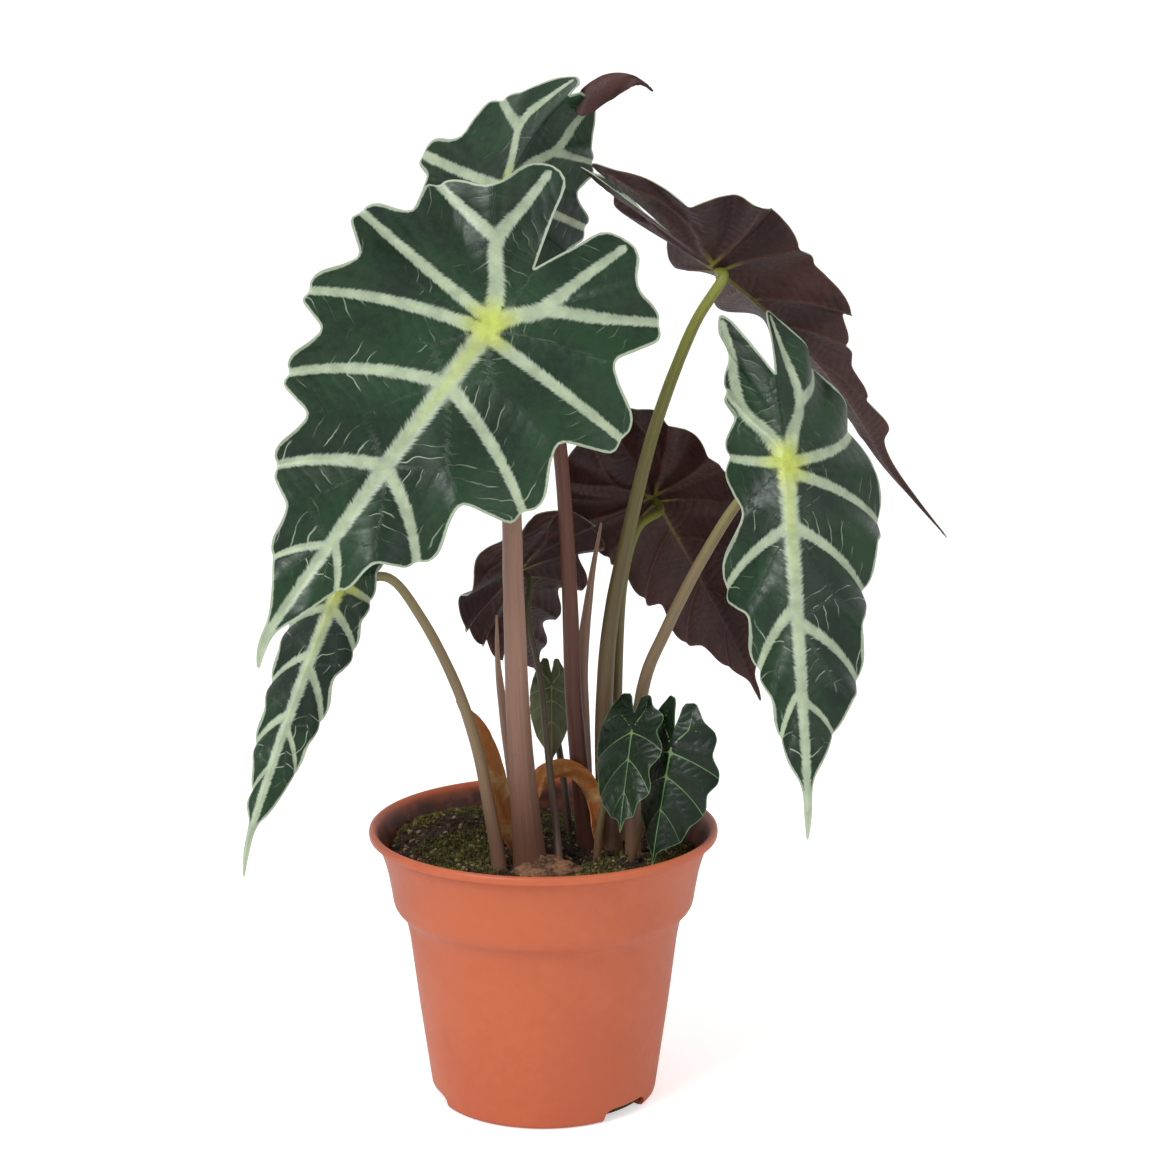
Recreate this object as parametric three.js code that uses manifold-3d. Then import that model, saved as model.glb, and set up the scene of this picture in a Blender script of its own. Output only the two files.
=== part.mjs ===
// Potted alocasia: a 12 cm thrown-over plastic nursery pot, soil, rhizome,
// ten arrow-shaped leaves on fleshy stalks, two sheaths and two dry bracts.
// Millimetres, +Z up, the pot's axis is Z and its foot stands on z = 0.
// The plant is seen from -Y; headings are degrees from +X, counter-clockwise.
import * as THREE from 'three';
import Module from 'manifold-3d';

// ---------------------------------------------------------------- pot
const POT_HEIGHT = 96;
const FOOT_RADIUS = 39;
const WALL_BOTTOM = 1.8;
const DRAIN_COUNT = 3;
const DRAIN_WIDTH = 20;
const DRAIN_HEIGHT = 4.6;
const DRAIN_START = 0.8875;
const POT_SEGMENTS = 40;
// Radius and height, from the foot up the outside to the lip, then down the inside.
const OUTSIDE = [[36.6, 0], [38.4, 0.7], [39.1, 2.4], [43.2, 32], [46.4, 57.5], [47.2, 61.4], [49.2, 65.1],
  [51.3, 69], [52.5, 74.5], [53.6, 80.5], [54.6, 84.5], [56, 88.8], [57.2, 92.1], [59.7, 92.9], [60, 94.5],
  [59.2, POT_HEIGHT]];
const INSIDE = [[58.2, 95.7], [56.8, 94], [54.9, 89], [52.5, 82], [50.4, 69], [47.9, 65.5], [45.5, 60],
  [37.4, WALL_BOTTOM]];

// ---------------------------------------------------------------- soil
const GAP = 0.4;
const SOIL_LEVEL = 84.5;
const SOIL_SEGMENTS = POT_SEGMENTS;
const SOIL_RINGS = 5;

// ---------------------------------------------------------------- leaves
const BLADE_THICKNESS = 0.8;
const SINUS = 0.2;        // notch behind the stalk, in midrib lengths

// Margin between two vein ends: share of the way, share of the distance outwards.
const SCALLOPS = [[0.14, 0.04], [0.3, -0.11], [0.45, -0.25], [0.6, -0.18], [0.78, 0], [0.9, 0.04]];
const SHOULDER = [[0.2, 0.07], [0.45, -0.08], [0.62, -0.1], [0.8, 0], [0.92, 0.03]];

// at: where the stalk meets the blade; length: stalk to blade tip; heading, dip and
// roll: pose of the midrib there; droop, sway, twist: change along the midrib;
// fold and curl: how far the right and left halves hang; drip: tail length, bend, turn.
// Each half has its lobe end (along, out, inner edge out) and its side veins (leaves the
// midrib at, ends along, ends out), all in midrib lengths.
const BLADES = {
  front_large: { at: [-16, -45, 272], length: 116, heading: 208, dip: 48, roll: -48,
    droop: 4, sway: -4, twist: -4, fold: [-10, 8], curl: [-4, 10],
    drip: [0.12, 34, 12], ripple: 3.6, rows: 0.5,
    right: { lobe: [-0.46, 0.13, 0.075], veins: [[-0.06, -0.24, 0.35], [-0.01, -0.05, 0.47], [0.02, 0.21, 0.45],
      [0.2, 0.42, 0.36], [0.48, 0.64, 0.24], [0.74, 0.85, 0.105]] },
    left: { lobe: [-0.41, 0.16, 0.09], veins: [[-0.06, -0.29, 0.36], [0.03, 0.03, 0.47], [0.2, 0.36, 0.37],
      [0.48, 0.64, 0.215], [0.72, 0.83, 0.085]] },
  },
  top: { at: [-12, 4, 311], length: 108, heading: 194, dip: 70, roll: -65,
    droop: 4, sway: 4, twist: 0, fold: [57, 62], curl: [-40, -5],
    drip: [0.14, 20, 0], ripple: 2.4, rows: 0.5, lobeBend: 39, sinus: 0.36,
    right: { lobe: [-0.42, 0.1, 0.03], veins: [[-0.06, -0.25, 0.3], [-0.01, -0.03, 0.46], [0.02, 0.13, 0.39],
      [0.2, 0.38, 0.3], [0.5, 0.63, 0.2], [0.76, 0.85, 0.1]] },
    left: { lobe: [-0.41, 0.11, 0.03], veins: [[-0.06, -0.3, 0.31], [0, 0.01, 0.44], [0.12, 0.26, 0.37],
      [0.34, 0.5, 0.27], [0.6, 0.75, 0.15]] },
  },
  back_right: { at: [59, 10, 285], length: 116, heading: 30, dip: 34, roll: -55,
    droop: 5, sway: 34, twist: 10, fold: [24, -55], curl: [2, -25],
    drip: [0.5, 8, -50], ripple: 3.6, rows: 0.5, ribbon: 0.03, lobeTwist: 20, scallop: 0.5,
    right: { lobe: [-0.54, 0.07, 0.03], veins: [[-0.06, -0.29, 0.18], [-0.03, -0.18, 0.35], [0, 0.04, 0.28],
      [0.15, 0.33, 0.22], [0.3, 0.46, 0.12], [0.5, 0.76, 0.05]] },
    left: { lobe: [-0.5, 0.07, 0.03], veins: [[-0.06, -0.28, 0.2], [0, 0, 0.22], [0.1, 0.25, 0.24],
      [0.36, 0.5, 0.13], [0.6, 0.75, 0.06]] },
  },
  right: { at: [79, -30, 226], length: 105, heading: 277, dip: 66, roll: 0,
    droop: 6, sway: 0, twist: 0, fold: [28, 20], curl: [32, 28],
    drip: [0.16, 12, -22], ripple: 3, rows: 0.5, scallop: 0.7, sinus: 0.29, lobeSway: 25,
    right: { lobe: [-0.5, 0.125, 0.1], veins: [[-0.06, -0.27, 0.165], [0, -0.06, 0.2], [0.2, 0.36, 0.25],
      [0.45, 0.63, 0.145], [0.7, 0.85, 0.08]] },
    left: { lobe: [-0.49, 0.06, 0.03], veins: [[-0.06, -0.35, 0.29], [0, -0.15, 0.38], [0.03, 0.14, 0.43],
      [0.2, 0.38, 0.31], [0.5, 0.67, 0.25], [0.74, 0.84, 0.12]] },
  },
  back_centre: { at: [40.5, 50, 200.3], length: 92, heading: 50, dip: 50, roll: -40,
    droop: 8, sway: -10, twist: -4, fold: [20, 30], curl: [28, 25],
    drip: [0.12, 10, 0], ripple: 2.5, rows: 0.5, scallop: 0.6, sinus: 0.38,
    right: { lobe: [-0.5, 0.11, 0.03], veins: [[-0.06, -0.43, 0.26], [-0.03, -0.27, 0.37], [0, 0, 0.39],
      [0.2, 0.34, 0.34], [0.5, 0.7, 0.19]] },
    left: { lobe: [-0.48, 0.12, 0.02], veins: [[-0.06, -0.42, 0.31], [-0.03, -0.27, 0.38], [0, -0.01, 0.32],
      [0.15, 0.29, 0.27], [0.45, 0.62, 0.2], [0.7, 0.88, 0.07]] },
  },
  back_left: { at: [-8, 24, 180], length: 64, heading: 94, dip: 50, roll: -34,
    droop: -12, sway: -20, twist: -8, fold: [8, 11], curl: [18, 10],
    drip: [0.1, 10, 0], ripple: 3, rows: 0.5, scallop: 0.7, sinus: 0.33,
    right: { lobe: [-0.47, 0.16, 0.08], veins: [[-0.06, -0.3, 0.4], [-0.01, -0.09, 0.48], [0.05, 0.28, 0.37],
      [0.3, 0.51, 0.2], [0.6, 0.8, 0.1]] },
    left: { lobe: [-0.44, 0.14, 0.07], veins: [[-0.06, -0.31, 0.47], [-0.01, -0.06, 0.54], [0.05, 0.25, 0.36],
      [0.3, 0.57, 0.22], [0.65, 0.82, 0.1]] },
  },
  lower_left: { at: [-65, -42, 189], length: 82, heading: 230, dip: 56, roll: -36,
    droop: 8, sway: 0, twist: 0, fold: [30, 28], curl: [32, 30],
    drip: [0.2, 20, 10], ripple: 1.8, rows: 0.5, scallop: 0.5,
    right: { lobe: [-0.4, 0.075, 0.03], veins: [[-0.06, -0.2, 0.14], [0, 0, 0.185], [0.1, 0.21, 0.2],
      [0.3, 0.44, 0.17], [0.55, 0.69, 0.13], [0.76, 0.87, 0.06]] },
    left: { lobe: [-0.4, 0.075, 0.03], veins: [[-0.06, -0.2, 0.14], [0, 0, 0.16], [0.1, 0.21, 0.175],
      [0.35, 0.53, 0.145], [0.6, 0.76, 0.11]] },
  },
  small_left: { at: [29.8, -17, 133.3], length: 33, heading: 255, dip: 57, roll: 13,
    droop: 6, sway: 0, twist: 0, fold: [11, -12], curl: [14, 12],
    drip: [0.06, 0, 0], ripple: 0.8, rows: 1, scallop: 0.4,
    right: { lobe: [-0.42, 0.2, 0.08], veins: [[-0.06, -0.12, 0.46], [0.02, 0.26, 0.46], [0.3, 0.68, 0.34],
      [0.65, 0.9, 0.14]] },
    left: { lobe: [-0.37, 0.14, 0.05], veins: [[-0.06, -0.15, 0.34], [0.02, 0.22, 0.37], [0.3, 0.66, 0.28],
      [0.65, 0.9, 0.12]] },
  },
  small_right: { at: [42.5, -24, 128.9], length: 37, heading: 230, dip: 74, roll: 7,
    droop: 2, sway: 0, twist: 3, fold: [9, 26], curl: [10, 18],
    drip: [0.08, 0, 0], ripple: 0.8, rows: 1, scallop: 0.4,
    right: { lobe: [-0.46, 0.16, 0.06], veins: [[-0.06, -0.2, 0.38], [0.03, 0.1, 0.39], [0.25, 0.46, 0.37],
      [0.55, 0.8, 0.2]] },
    left: { lobe: [-0.43, 0.14, 0.05], veins: [[-0.06, -0.2, 0.38], [0.03, 0.19, 0.48], [0.25, 0.54, 0.39],
      [0.55, 0.82, 0.22]] },
  },
  small_back: { at: [3, 35, 136], length: 27, heading: 270, dip: 52, roll: -8,
    droop: 8, sway: 0, twist: 0, fold: [26, 24], curl: [26, 26],
    drip: [0.06, 0, 0], ripple: 0.5, rows: 1, scallop: 0.3,
    right: { lobe: [-0.42, 0.12, 0.05], veins: [[-0.06, -0.2, 0.27], [0.02, 0.05, 0.33], [0.2, 0.35, 0.32],
      [0.5, 0.68, 0.22]] },
    left: { lobe: [-0.42, 0.12, 0.05], veins: [[-0.06, -0.2, 0.27], [0.02, 0.05, 0.33], [0.2, 0.35, 0.32],
      [0.5, 0.68, 0.22]] },
  },
};

// Stalks from the soil up to the blade: radius at the foot and at the blade.
const STALKS = {
  front_large: { foot: 5, top: 2.5, path: [[-4, -14, 78], [-5, -16, 92], [-8, -24, 135],
    [-9.5, -31, 185], [-10, -34, 215], [-11.5, -36, 245]] },
  top: { foot: 3.4, top: 2, path: [[16, 10.5, 78], [13.5, 11.5, 104], [10.5, 10, 138],
    [9, 7, 180], [6, 5, 225], [-1, 7, 272]] },
  back_right: { foot: 3.7, top: 1.7, path: [[24.5, 3.5, 78], [22, 6.5, 101], [21, 9.5, 130],
    [23, 10, 163], [29, 10, 195], [38, 9, 232], [50, 7, 265]] },
  right: { foot: 2.7, top: 1.7, path: [[31, -2, 78], [31, 1, 104], [34, 3, 142],
    [42, -1, 165], [54, -10, 192], [66, -18, 213]] },
  back_centre: { foot: 2.6, top: 1.5, path: [[27, 14, 78], [25.5, 18, 110], [26, 23, 145],
    [28, 28, 175], [33, 32, 193]] },
  back_left: { foot: 1.5, top: 0.9, path: [[5.5, -14.5, 78], [5, -13, 90], [2, 1, 117],
    [-1, 10, 145], [-5, 15, 165]] },
  lower_left: { foot: 2.5, top: 1.4, path: [[-14.5, -17, 78], [-15.5, -17, 90], [-18, -18, 106],
    [-22, -20, 128], [-29, -22, 151], [-40, -24, 174], [-51, -26, 188]] },
  small_left: { foot: 1.4, top: 1.1, path: [[18, -7, 79], [19, -7, 95], [22, -6.5, 112],
    [26, -7.5, 126]] },
  small_right: { foot: 1.4, top: 1.1, path: [[28, -11, 79], [32, -14, 95], [37, -16, 110],
    [41, -19, 122]] },
  small_back: { foot: 1.5, top: 1.1, path: [[9, 19, 79], [8, 25, 98], [6, 33, 113],
    [4, 39, 123]] },
};

const SHEATHS = {
  sheath_tall: { radii: [3, 3.2, 2.8, 1.7, 0.4],
    path: [[15, 19, 78], [14, 18.5, 112], [13.5, 17, 148], [16.5, 13.5, 178], [20, 12, 199]] },
  sheath_front: { radii: [2.4, 2.2, 1.8, 1.1, 0.35],
    path: [[-6, -3, 78], [-9, -3, 104], [-12.5, -3, 130], [-15, -5, 152], [-15.5, -7, 171]] },
};

// Papery bracts: centre line, half width along it, which way the hollow faces.
const BRACTS = {
  dry_bract_left: { thickness: 0.6, bend: 7, facing: [0.35, -0.9, 0.1],
    path: [[-11, -10.5, 90], [-13.5, -11, 106], [-17, -12, 122], [-22, -13, 134],
      [-29, -13.5, 143]], half: [1.6, 3.2, 3.6, 2.6, 0.3] },
  dry_bract_arch: { thickness: 0.6, bend: 12, facing: [0.0, -1, 0.25],
    path: [[-5, 3.5, 90], [-4.5, 4, 103], [0, 4.6, 112], [8, 4.4, 114.5], [15, 3, 110],
      [18.5, -0.5, 101], [18, -3, 91]], half: [2.2, 2.6, 3.2, 3, 3, 2.6, 1.6] },
};

const CORM = { at: [1, -19.5, 82.5], size: [13, 9, 7.5] };

// ---------------------------------------------------------------- helpers
const rad = THREE.MathUtils.degToRad;
const clamp = THREE.MathUtils.clamp;
const vec = (p) => new THREE.Vector3(p[0], p[1], p[2]);
const spline = (pts) => new THREE.CatmullRomCurve3(pts.map(vec), false, 'catmullrom', 0.5);

function interpolate(x, xs, ys) {
  if (x <= xs[0]) return ys[0];
  for (let i = 1; i < xs.length; i += 1) {
    if (x <= xs[i]) return ys[i - 1] + ((ys[i] - ys[i - 1]) * (x - xs[i - 1])) / (xs[i] - xs[i - 1]);
  }
  return ys[ys.length - 1];
}

function geometryFrom(points, triangles) {
  const g = new THREE.BufferGeometry();
  g.setAttribute('position', new THREE.Float32BufferAttribute(points.flatMap((p) => [p.x, p.y, p.z]), 3));
  g.setIndex(triangles.flat());
  g.computeVertexNormals();
  return g;
}

// A thin closed shell around a surface given as rows of points; the first and last rows
// are single points.
function shell(rows, thickness) {
  const mid = [];
  const id = rows.map((row) => row.map((p) => mid.push(p) - 1));
  const faces = [];
  for (let i = 0; i + 1 < rows.length; i += 1) {
    const a = id[i];
    const b = id[i + 1];
    const n = Math.max(a.length, b.length);
    for (let j = 0; j + 1 < n; j += 1) {
      if (a.length === 1) faces.push([a[0], b[j + 1], b[j]]);
      else if (b.length === 1) faces.push([a[j], a[j + 1], b[0]]);
      else faces.push([a[j], a[j + 1], b[j]], [a[j + 1], b[j + 1], b[j]]);
    }
  }
  const normals = mid.map(() => new THREE.Vector3());
  for (const [a, b, c] of faces) {
    const n = mid[b].clone().sub(mid[a]).cross(mid[c].clone().sub(mid[a]));
    for (const k of [a, b, c]) normals[k].add(n);
  }
  normals.forEach((n) => n.normalize());
  const count = mid.length;
  const points = [1, -1].flatMap((s) => mid.map((p, k) => p.clone().addScaledVector(normals[k], (s * thickness) / 2)));
  const triangles = faces.map((f) => [...f]).concat(faces.map(([a, b, c]) => [a + count, c + count, b + count]));
  const loop = [id[0][0], ...id.slice(1, -1).map((r) => r[r.length - 1]), id[id.length - 1][0],
    ...id.slice(1, -1).map((r) => r[0]).reverse()];
  loop.forEach((a, k) => {
    const b = loop[(k + 1) % loop.length];
    triangles.push([b, a, a + count], [b, a + count, b + count]);
  });
  return geometryFrom(points, triangles);
}

// A closed tapering rod along a smooth path.
function rod(path, radii, sides, stations, grow = 0) {
  const curve = spline(path);
  const at = radii.map((r, i) => i / (radii.length - 1));
  const points = [];
  const triangles = [];
  let across = new THREE.Vector3(1, 0, 0);
  for (let i = 0; i <= stations; i += 1) {
    const u = i / stations;
    const t = curve.getTangent(u);
    across.addScaledVector(t, -across.dot(t)).normalize();
    const other = t.clone().cross(across);
    const r = interpolate(u, at, radii) + grow;
    const centre = curve.getPoint(u);
    if (i === 0) centre.addScaledVector(t, -grow);
    for (let k = 0; k < sides; k += 1) {
      const a = (2 * Math.PI * k) / sides;
      points.push(centre.clone().addScaledVector(across, r * Math.cos(a)).addScaledVector(other, r * Math.sin(a)));
    }
    across = across.clone();
  }
  for (let i = 0; i < stations; i += 1) {
    for (let k = 0; k < sides; k += 1) {
      const a = i * sides + k;
      const b = i * sides + ((k + 1) % sides);
      triangles.push([a, b, b + sides], [a, b + sides, a + sides]);
    }
  }
  for (let k = 1; k + 1 < sides; k += 1) {
    triangles.push([0, k + 1, k]);
    const e = stations * sides;
    triangles.push([e, e + k, e + k + 1]);
  }
  return geometryFrom(points, triangles);
}

// ---------------------------------------------------------------- blades
// Position and frame of the midrib at a distance g (in midrib lengths) from the stalk.
function midrib(b, g) {
  const [tail, bend, turn] = b.drip;
  const poseAt = (q) => {
    const end = clamp((q - 1) / tail, 0, 1);
    const behind = -Math.min(q, 0) / 0.46;
    const front = clamp(q, 0, 1);
    return [rad(b.dip - (b.lobeBend || 0) * behind + b.droop * front + bend * end),
      rad(b.heading + b.sway * front + turn * end + (b.lobeSway || 0) * behind),
      rad(b.roll + b.twist * q + (b.lobeTwist || 0) * behind)];
  };
  const tangentAt = (q) => {
    const [d, a] = poseAt(q);
    return new THREE.Vector3(Math.cos(d) * Math.cos(a), Math.cos(d) * Math.sin(a), -Math.sin(d));
  };
  const steps = 24;
  const point = vec(b.at);
  for (let i = 0; i < steps; i += 1) point.addScaledVector(tangentAt((g * (i + 0.5)) / steps), (g * b.length) / steps);
  const along = tangentAt(g);
  const [, heading, r] = poseAt(g);
  const level = new THREE.Vector3(Math.sin(heading), -Math.cos(heading), 0);
  const up = level.clone().cross(along);
  const across = level.clone().multiplyScalar(Math.cos(r)).addScaledVector(up, -Math.sin(r));
  const normal = level.multiplyScalar(Math.sin(r)).addScaledVector(up, Math.cos(r));
  return { point, along, across, normal };
}

// Outline of one half and where each ray to it leaves the midrib.
function half(b, which) {
  const { lobe: [ls, lt, inner], veins } = b[which];
  const n = veins.length + 1;
  const tail = b.drip[0];
  const sinus = b.sinus || SINUS;
  const ribbon = b.ribbon || 0.02;
  const pts = [[-sinus, 0, -0.5], [-sinus + 0.575 * (ls + sinus), 0.6 * inner, -0.25],
    [ls + 0.01, inner, -0.12], [ls - 0.012, lt + 0.005, 0]];
  const peaks = [[ls, lt], ...veins.map((v) => [v[1], v[2]])];
  for (let i = 0; i + 1 < peaks.length; i += 1) {
    const [p, q] = [peaks[i], peaks[i + 1]];
    const depth = (b.scallop || 1) * (i + 2 < peaks.length ? 1 : 0.5);
    for (const [f, out] of i === 0 ? SHOULDER : SCALLOPS) {
      pts.push([p[0] + f * (q[0] - p[0]) - out * depth * (q[1] - p[1]),
        p[1] + f * (q[1] - p[1]) + out * depth * (q[0] - p[0]), i + f]);
    }
    pts.push([q[0], q[1], i + 1]);
  }
  pts.push([0.93, 0.032 + ribbon, n - 0.5], [1, ribbon, n], [1 + 0.55 * tail, 0.6 * ribbon, n + 0.3],
    [1 + tail, 0.004, n + 0.5]);
  const curve = spline(pts.map(([s, t]) => [s, t, 0]));
  const phases = pts.map((p) => p[2]);
  const keys = [-0.5, -0.25, 0, ...veins.map((v, i) => i + 1), n, n + 0.5];
  const starts = [-sinus, -0.82 * sinus, -0.6 * sinus, ...veins.map((v) => v[0]), 0.985, 1 + tail];
  return {
    stations: (step) => {
      const out = [];
      for (let p = 0; p <= n + 0.01; p += step) out.push(interpolate(p, keys, starts));
      return out;
    },
    phaseAt: (s) => interpolate(s, starts, keys),
    edgeAt: (phase) => curve.getPoint(interpolate(phase, phases, phases.map((p, i) => i)) / (pts.length - 1)),
  };
}

function blade(b, grow = 0) {
  const sinus = b.sinus || SINUS;
  const sides = [half(b, 'right'), half(b, 'left')];
  const all = sides.flatMap((s) => s.stations(b.rows)).concat([-0.93, -0.82, -0.7].map((f) => f * sinus));
  if (b.drip[0] > 0.1) all.push(...[0.3, 0.6, 0.85].map((f) => 1 + f * b.drip[0]));
  all.sort((p, q) => p - q);
  const stations = all.filter((s, i) => i === 0 || s - all[i - 1] > 0.004 || s === all[0]);
  const kept = [];
  for (const s of stations) if (!kept.length || s - kept[kept.length - 1] > 0.008) kept.push(s);
  const spot = (start, which, j) => {
    const side = which === 0 ? 1 : -1;
    const phase = sides[which].phaseAt(start);
    const edge = sides[which].edgeAt(phase);
    const c = [start + 0.35 * (edge.x - start), 0.6 * edge.y];
    const s = (1 - j) ** 2 * start + 2 * j * (1 - j) * c[0] + j * j * edge.x;
    const t = 2 * j * (1 - j) * c[1] + j * j * edge.y;
    const f = midrib(b, s);
    const fold = rad(b.fold[which]);
    const bend = rad(b.curl[which]) / (0.47 * b.length) || 1e-6;
    const out = t * b.length;
    const a = (Math.sin(fold + bend * out) - Math.sin(fold)) / bend;
    const d = -(Math.cos(fold + bend * out) - Math.cos(fold)) / bend;
    const wave = b.ripple * Math.cos(2 * Math.PI * phase) * (t / Math.max(edge.y, 1e-3)) ** 2
      * clamp(edge.y / 0.2, 0, 1);
    const lean = fold + bend * out;
    return f.point.addScaledVector(f.across, side * (a - wave * Math.sin(lean)))
      .addScaledVector(f.normal, -d - wave * Math.cos(lean));
  };
  const columns = b.rows < 1 ? [1, 0.6, 0.28, 0] : [1, 0.5, 0];
  const rows = kept.map((s) => [...columns.map((j) => spot(s, 1, j)),
    ...columns.slice(0, -1).reverse().map((j) => spot(s, 0, j))]);
  rows.unshift([midrib(b, -sinus).point]);
  rows.push([midrib(b, 1 + b.drip[0]).point]);
  return shell(rows, BLADE_THICKNESS + 2 * grow);
}

// ---------------------------------------------------------------- stalks
// The stalk bends to stand square under the blade and stops just short of it.
function stalkPath(name) {
  const { path, top } = STALKS[name];
  const b = BLADES[name];
  const f = midrib(b, 0);
  const hang = Math.max(0, ...b.fold);
  const clear = BLADE_THICKNESS / 2 + GAP + (top + 0.3) * Math.tan(rad(hang)) + 0.3;
  const under = (d) => f.point.clone().addScaledVector(f.normal, -d).toArray();
  return [...path, under(clear + 5), under(clear)];
}

function stalk(name, grow = 0) {
  const s = STALKS[name];
  const path = stalkPath(name);
  return rod(path, [s.foot, s.foot * 0.86, (s.foot + s.top) / 2, s.top * 1.1, s.top], 9, path.length * 2, grow);
}

// ---------------------------------------------------------------- bracts
function bract(spec) {
  const curve = spline(spec.path);
  const facing = vec(spec.facing).normalize();
  const at = spec.half.map((h, i) => i / (spec.half.length - 1));
  const rows = [];
  const count = 9;
  for (let i = 0; i <= count; i += 1) {
    const u = i / count;
    const t = curve.getTangent(u);
    const p = curve.getPoint(u);
    if (i === 0 || i === count) { rows.push([p]); continue; }
    const face = facing.clone().addScaledVector(t, -facing.dot(t)).normalize();
    const across = face.clone().cross(t).negate();
    const w = interpolate(u, at, spec.half) / spec.bend;
    rows.push([-1, -0.5, 0, 0.5, 1].map((k) => p.clone()
      .addScaledVector(across, spec.bend * Math.sin(k * w))
      .addScaledVector(face, -spec.bend * (1 - Math.cos(k * w)))));
  }
  return shell(rows, spec.thickness);
}

// ---------------------------------------------------------------- pot and soil
function innerRadius(z) {
  const up = [...INSIDE].reverse();
  return interpolate(z, up.map((p) => p[1]), up.map((p) => p[0]));
}

function potBody() {
  const profile = [[0, 0], ...OUTSIDE, ...INSIDE, [0, WALL_BOTTOM]];
  const g = new THREE.LatheGeometry(profile.map(([r, z]) => new THREE.Vector2(r, z)), POT_SEGMENTS);
  g.rotateX(Math.PI / 2);
  return g;
}

function soilBody() {
  const level = (x, y) => SOIL_LEVEL + 2.6 * Math.exp(-((x + 26) ** 2 + (y - 14) ** 2) / 500)
    + 1.5 * Math.exp(-((x - 24) ** 2 + (y + 26) ** 2) / 300)
    + 0.5 * Math.sin(x * 0.31 + 1) * Math.sin(y * 0.27)
    - 5.5 * Math.exp(-((x - 9) ** 2 + (y + 4) ** 2) / 60);
  const floor = WALL_BOTTOM + GAP;
  const walls = [[innerRadius(SOIL_LEVEL) - GAP - 0.2, null],
    ...INSIDE.slice(3, -1).map(([r, z]) => [r - GAP - 0.1, z]), [innerRadius(WALL_BOTTOM) - GAP - 0.1, floor]];
  const points = [new THREE.Vector3(0, 0, level(0, 0))];
  const triangles = [];
  const ring = (r, z) => {
    for (let k = 0; k < SOIL_SEGMENTS; k += 1) {
      const a = (2 * Math.PI * k) / SOIL_SEGMENTS;
      const x = r * Math.cos(a);
      const y = r * Math.sin(a);
      points.push(new THREE.Vector3(x, y, z === null ? level(x, y) : z));
    }
  };
  for (let i = 1; i < SOIL_RINGS; i += 1) ring(((walls[0][0] - 0.5) * i) / SOIL_RINGS, null);
  walls.forEach(([r, z]) => ring(r, z));
  points.push(new THREE.Vector3(0, 0, floor));
  const rings = (points.length - 2) / SOIL_SEGMENTS;
  const last = points.length - 1;
  for (let k = 0; k < SOIL_SEGMENTS; k += 1) {
    const m = (k + 1) % SOIL_SEGMENTS;
    triangles.push([0, 1 + k, 1 + m]);
    for (let i = 0; i + 1 < rings; i += 1) {
      const a = 1 + i * SOIL_SEGMENTS;
      const b = a + SOIL_SEGMENTS;
      triangles.push([a + k, b + k, b + m], [a + k, b + m, a + m]);
    }
    const e = 1 + (rings - 1) * SOIL_SEGMENTS;
    triangles.push([e + k, last, e + m]);
  }
  return geometryFrom(points, triangles);
}

// ---------------------------------------------------------------- solid cuts
const wasm = await Module();
wasm.setup();

function toSolid(geometry) {
  const g = geometry.clone();
  g.deleteAttribute('normal');
  g.deleteAttribute('uv');
  const pos = g.attributes.position;
  const seen = new Map();
  const verts = [];
  const remap = [];
  for (let i = 0; i < pos.count; i += 1) {
    const p = [pos.getX(i), pos.getY(i), pos.getZ(i)].map((v) => Math.round(v * 1e4) / 1e4);
    const key = p.join(' ');
    if (!seen.has(key)) { seen.set(key, verts.length / 3); verts.push(...p); }
    remap.push(seen.get(key));
  }
  const idx = g.index ? Array.from(g.index.array) : remap.map((v, i) => i);
  const tris = [];
  for (let i = 0; i < idx.length; i += 3) {
    const t = [remap[idx[i]], remap[idx[i + 1]], remap[idx[i + 2]]];
    if (t[0] !== t[1] && t[1] !== t[2] && t[2] !== t[0]) tris.push(...t);
  }
  return new wasm.Manifold(new wasm.Mesh({ numProp: 3,
    vertProperties: new Float32Array(verts), triVerts: new Uint32Array(tris) }));
}

function fromSolid(solid) {
  const m = solid.getMesh();
  const g = new THREE.BufferGeometry();
  g.setAttribute('position', new THREE.Float32BufferAttribute(Array.from(m.vertProperties), 3));
  g.setIndex(Array.from(m.triVerts));
  g.computeVertexNormals();
  return g;
}

function cut(geometry, tools) {
  let solid = toSolid(geometry);
  for (const t of tools) solid = solid.subtract(toSolid(t));
  return fromSolid(solid);
}

function drainTools() {
  return Array.from({ length: DRAIN_COUNT }, (_, k) => {
    const shape = new THREE.Shape();
    const w = DRAIN_WIDTH / 2;
    shape.moveTo(-w, -1);
    shape.lineTo(w, -1);
    shape.lineTo(w, DRAIN_HEIGHT - 2);
    shape.quadraticCurveTo(w - 0.4, DRAIN_HEIGHT, w - 3, DRAIN_HEIGHT);
    shape.lineTo(3 - w, DRAIN_HEIGHT);
    shape.quadraticCurveTo(0.4 - w, DRAIN_HEIGHT, -w, DRAIN_HEIGHT - 2);
    shape.closePath();
    const g = new THREE.ExtrudeGeometry(shape, { depth: 12, bevelEnabled: false, curveSegments: 3 });
    g.rotateX(Math.PI / 2);
    g.translate(0, FOOT_RADIUS + 4, 0);
    g.rotateZ((2 * Math.PI * (k + DRAIN_START)) / DRAIN_COUNT);
    return g;
  });
}

function cormBody(grow = 0) {
  const g = new THREE.SphereGeometry(1, 14, 9);
  g.rotateX(Math.PI / 2);
  g.scale(CORM.size[0] + grow, CORM.size[1] + grow, CORM.size[2] + grow);
  g.rotateZ(rad(-8));
  g.translate(...CORM.at);
  return g;
}

// A stalk trimmed clear of the folded blade above it.
function trimmedStalk(name) {
  const pieces = toSolid(stalk(name)).subtract(toSolid(blade(BLADES[name], GAP))).decompose();
  pieces.sort((p, q) => q.volume() - p.volume());
  return fromSolid(pieces[0]);
}

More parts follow.
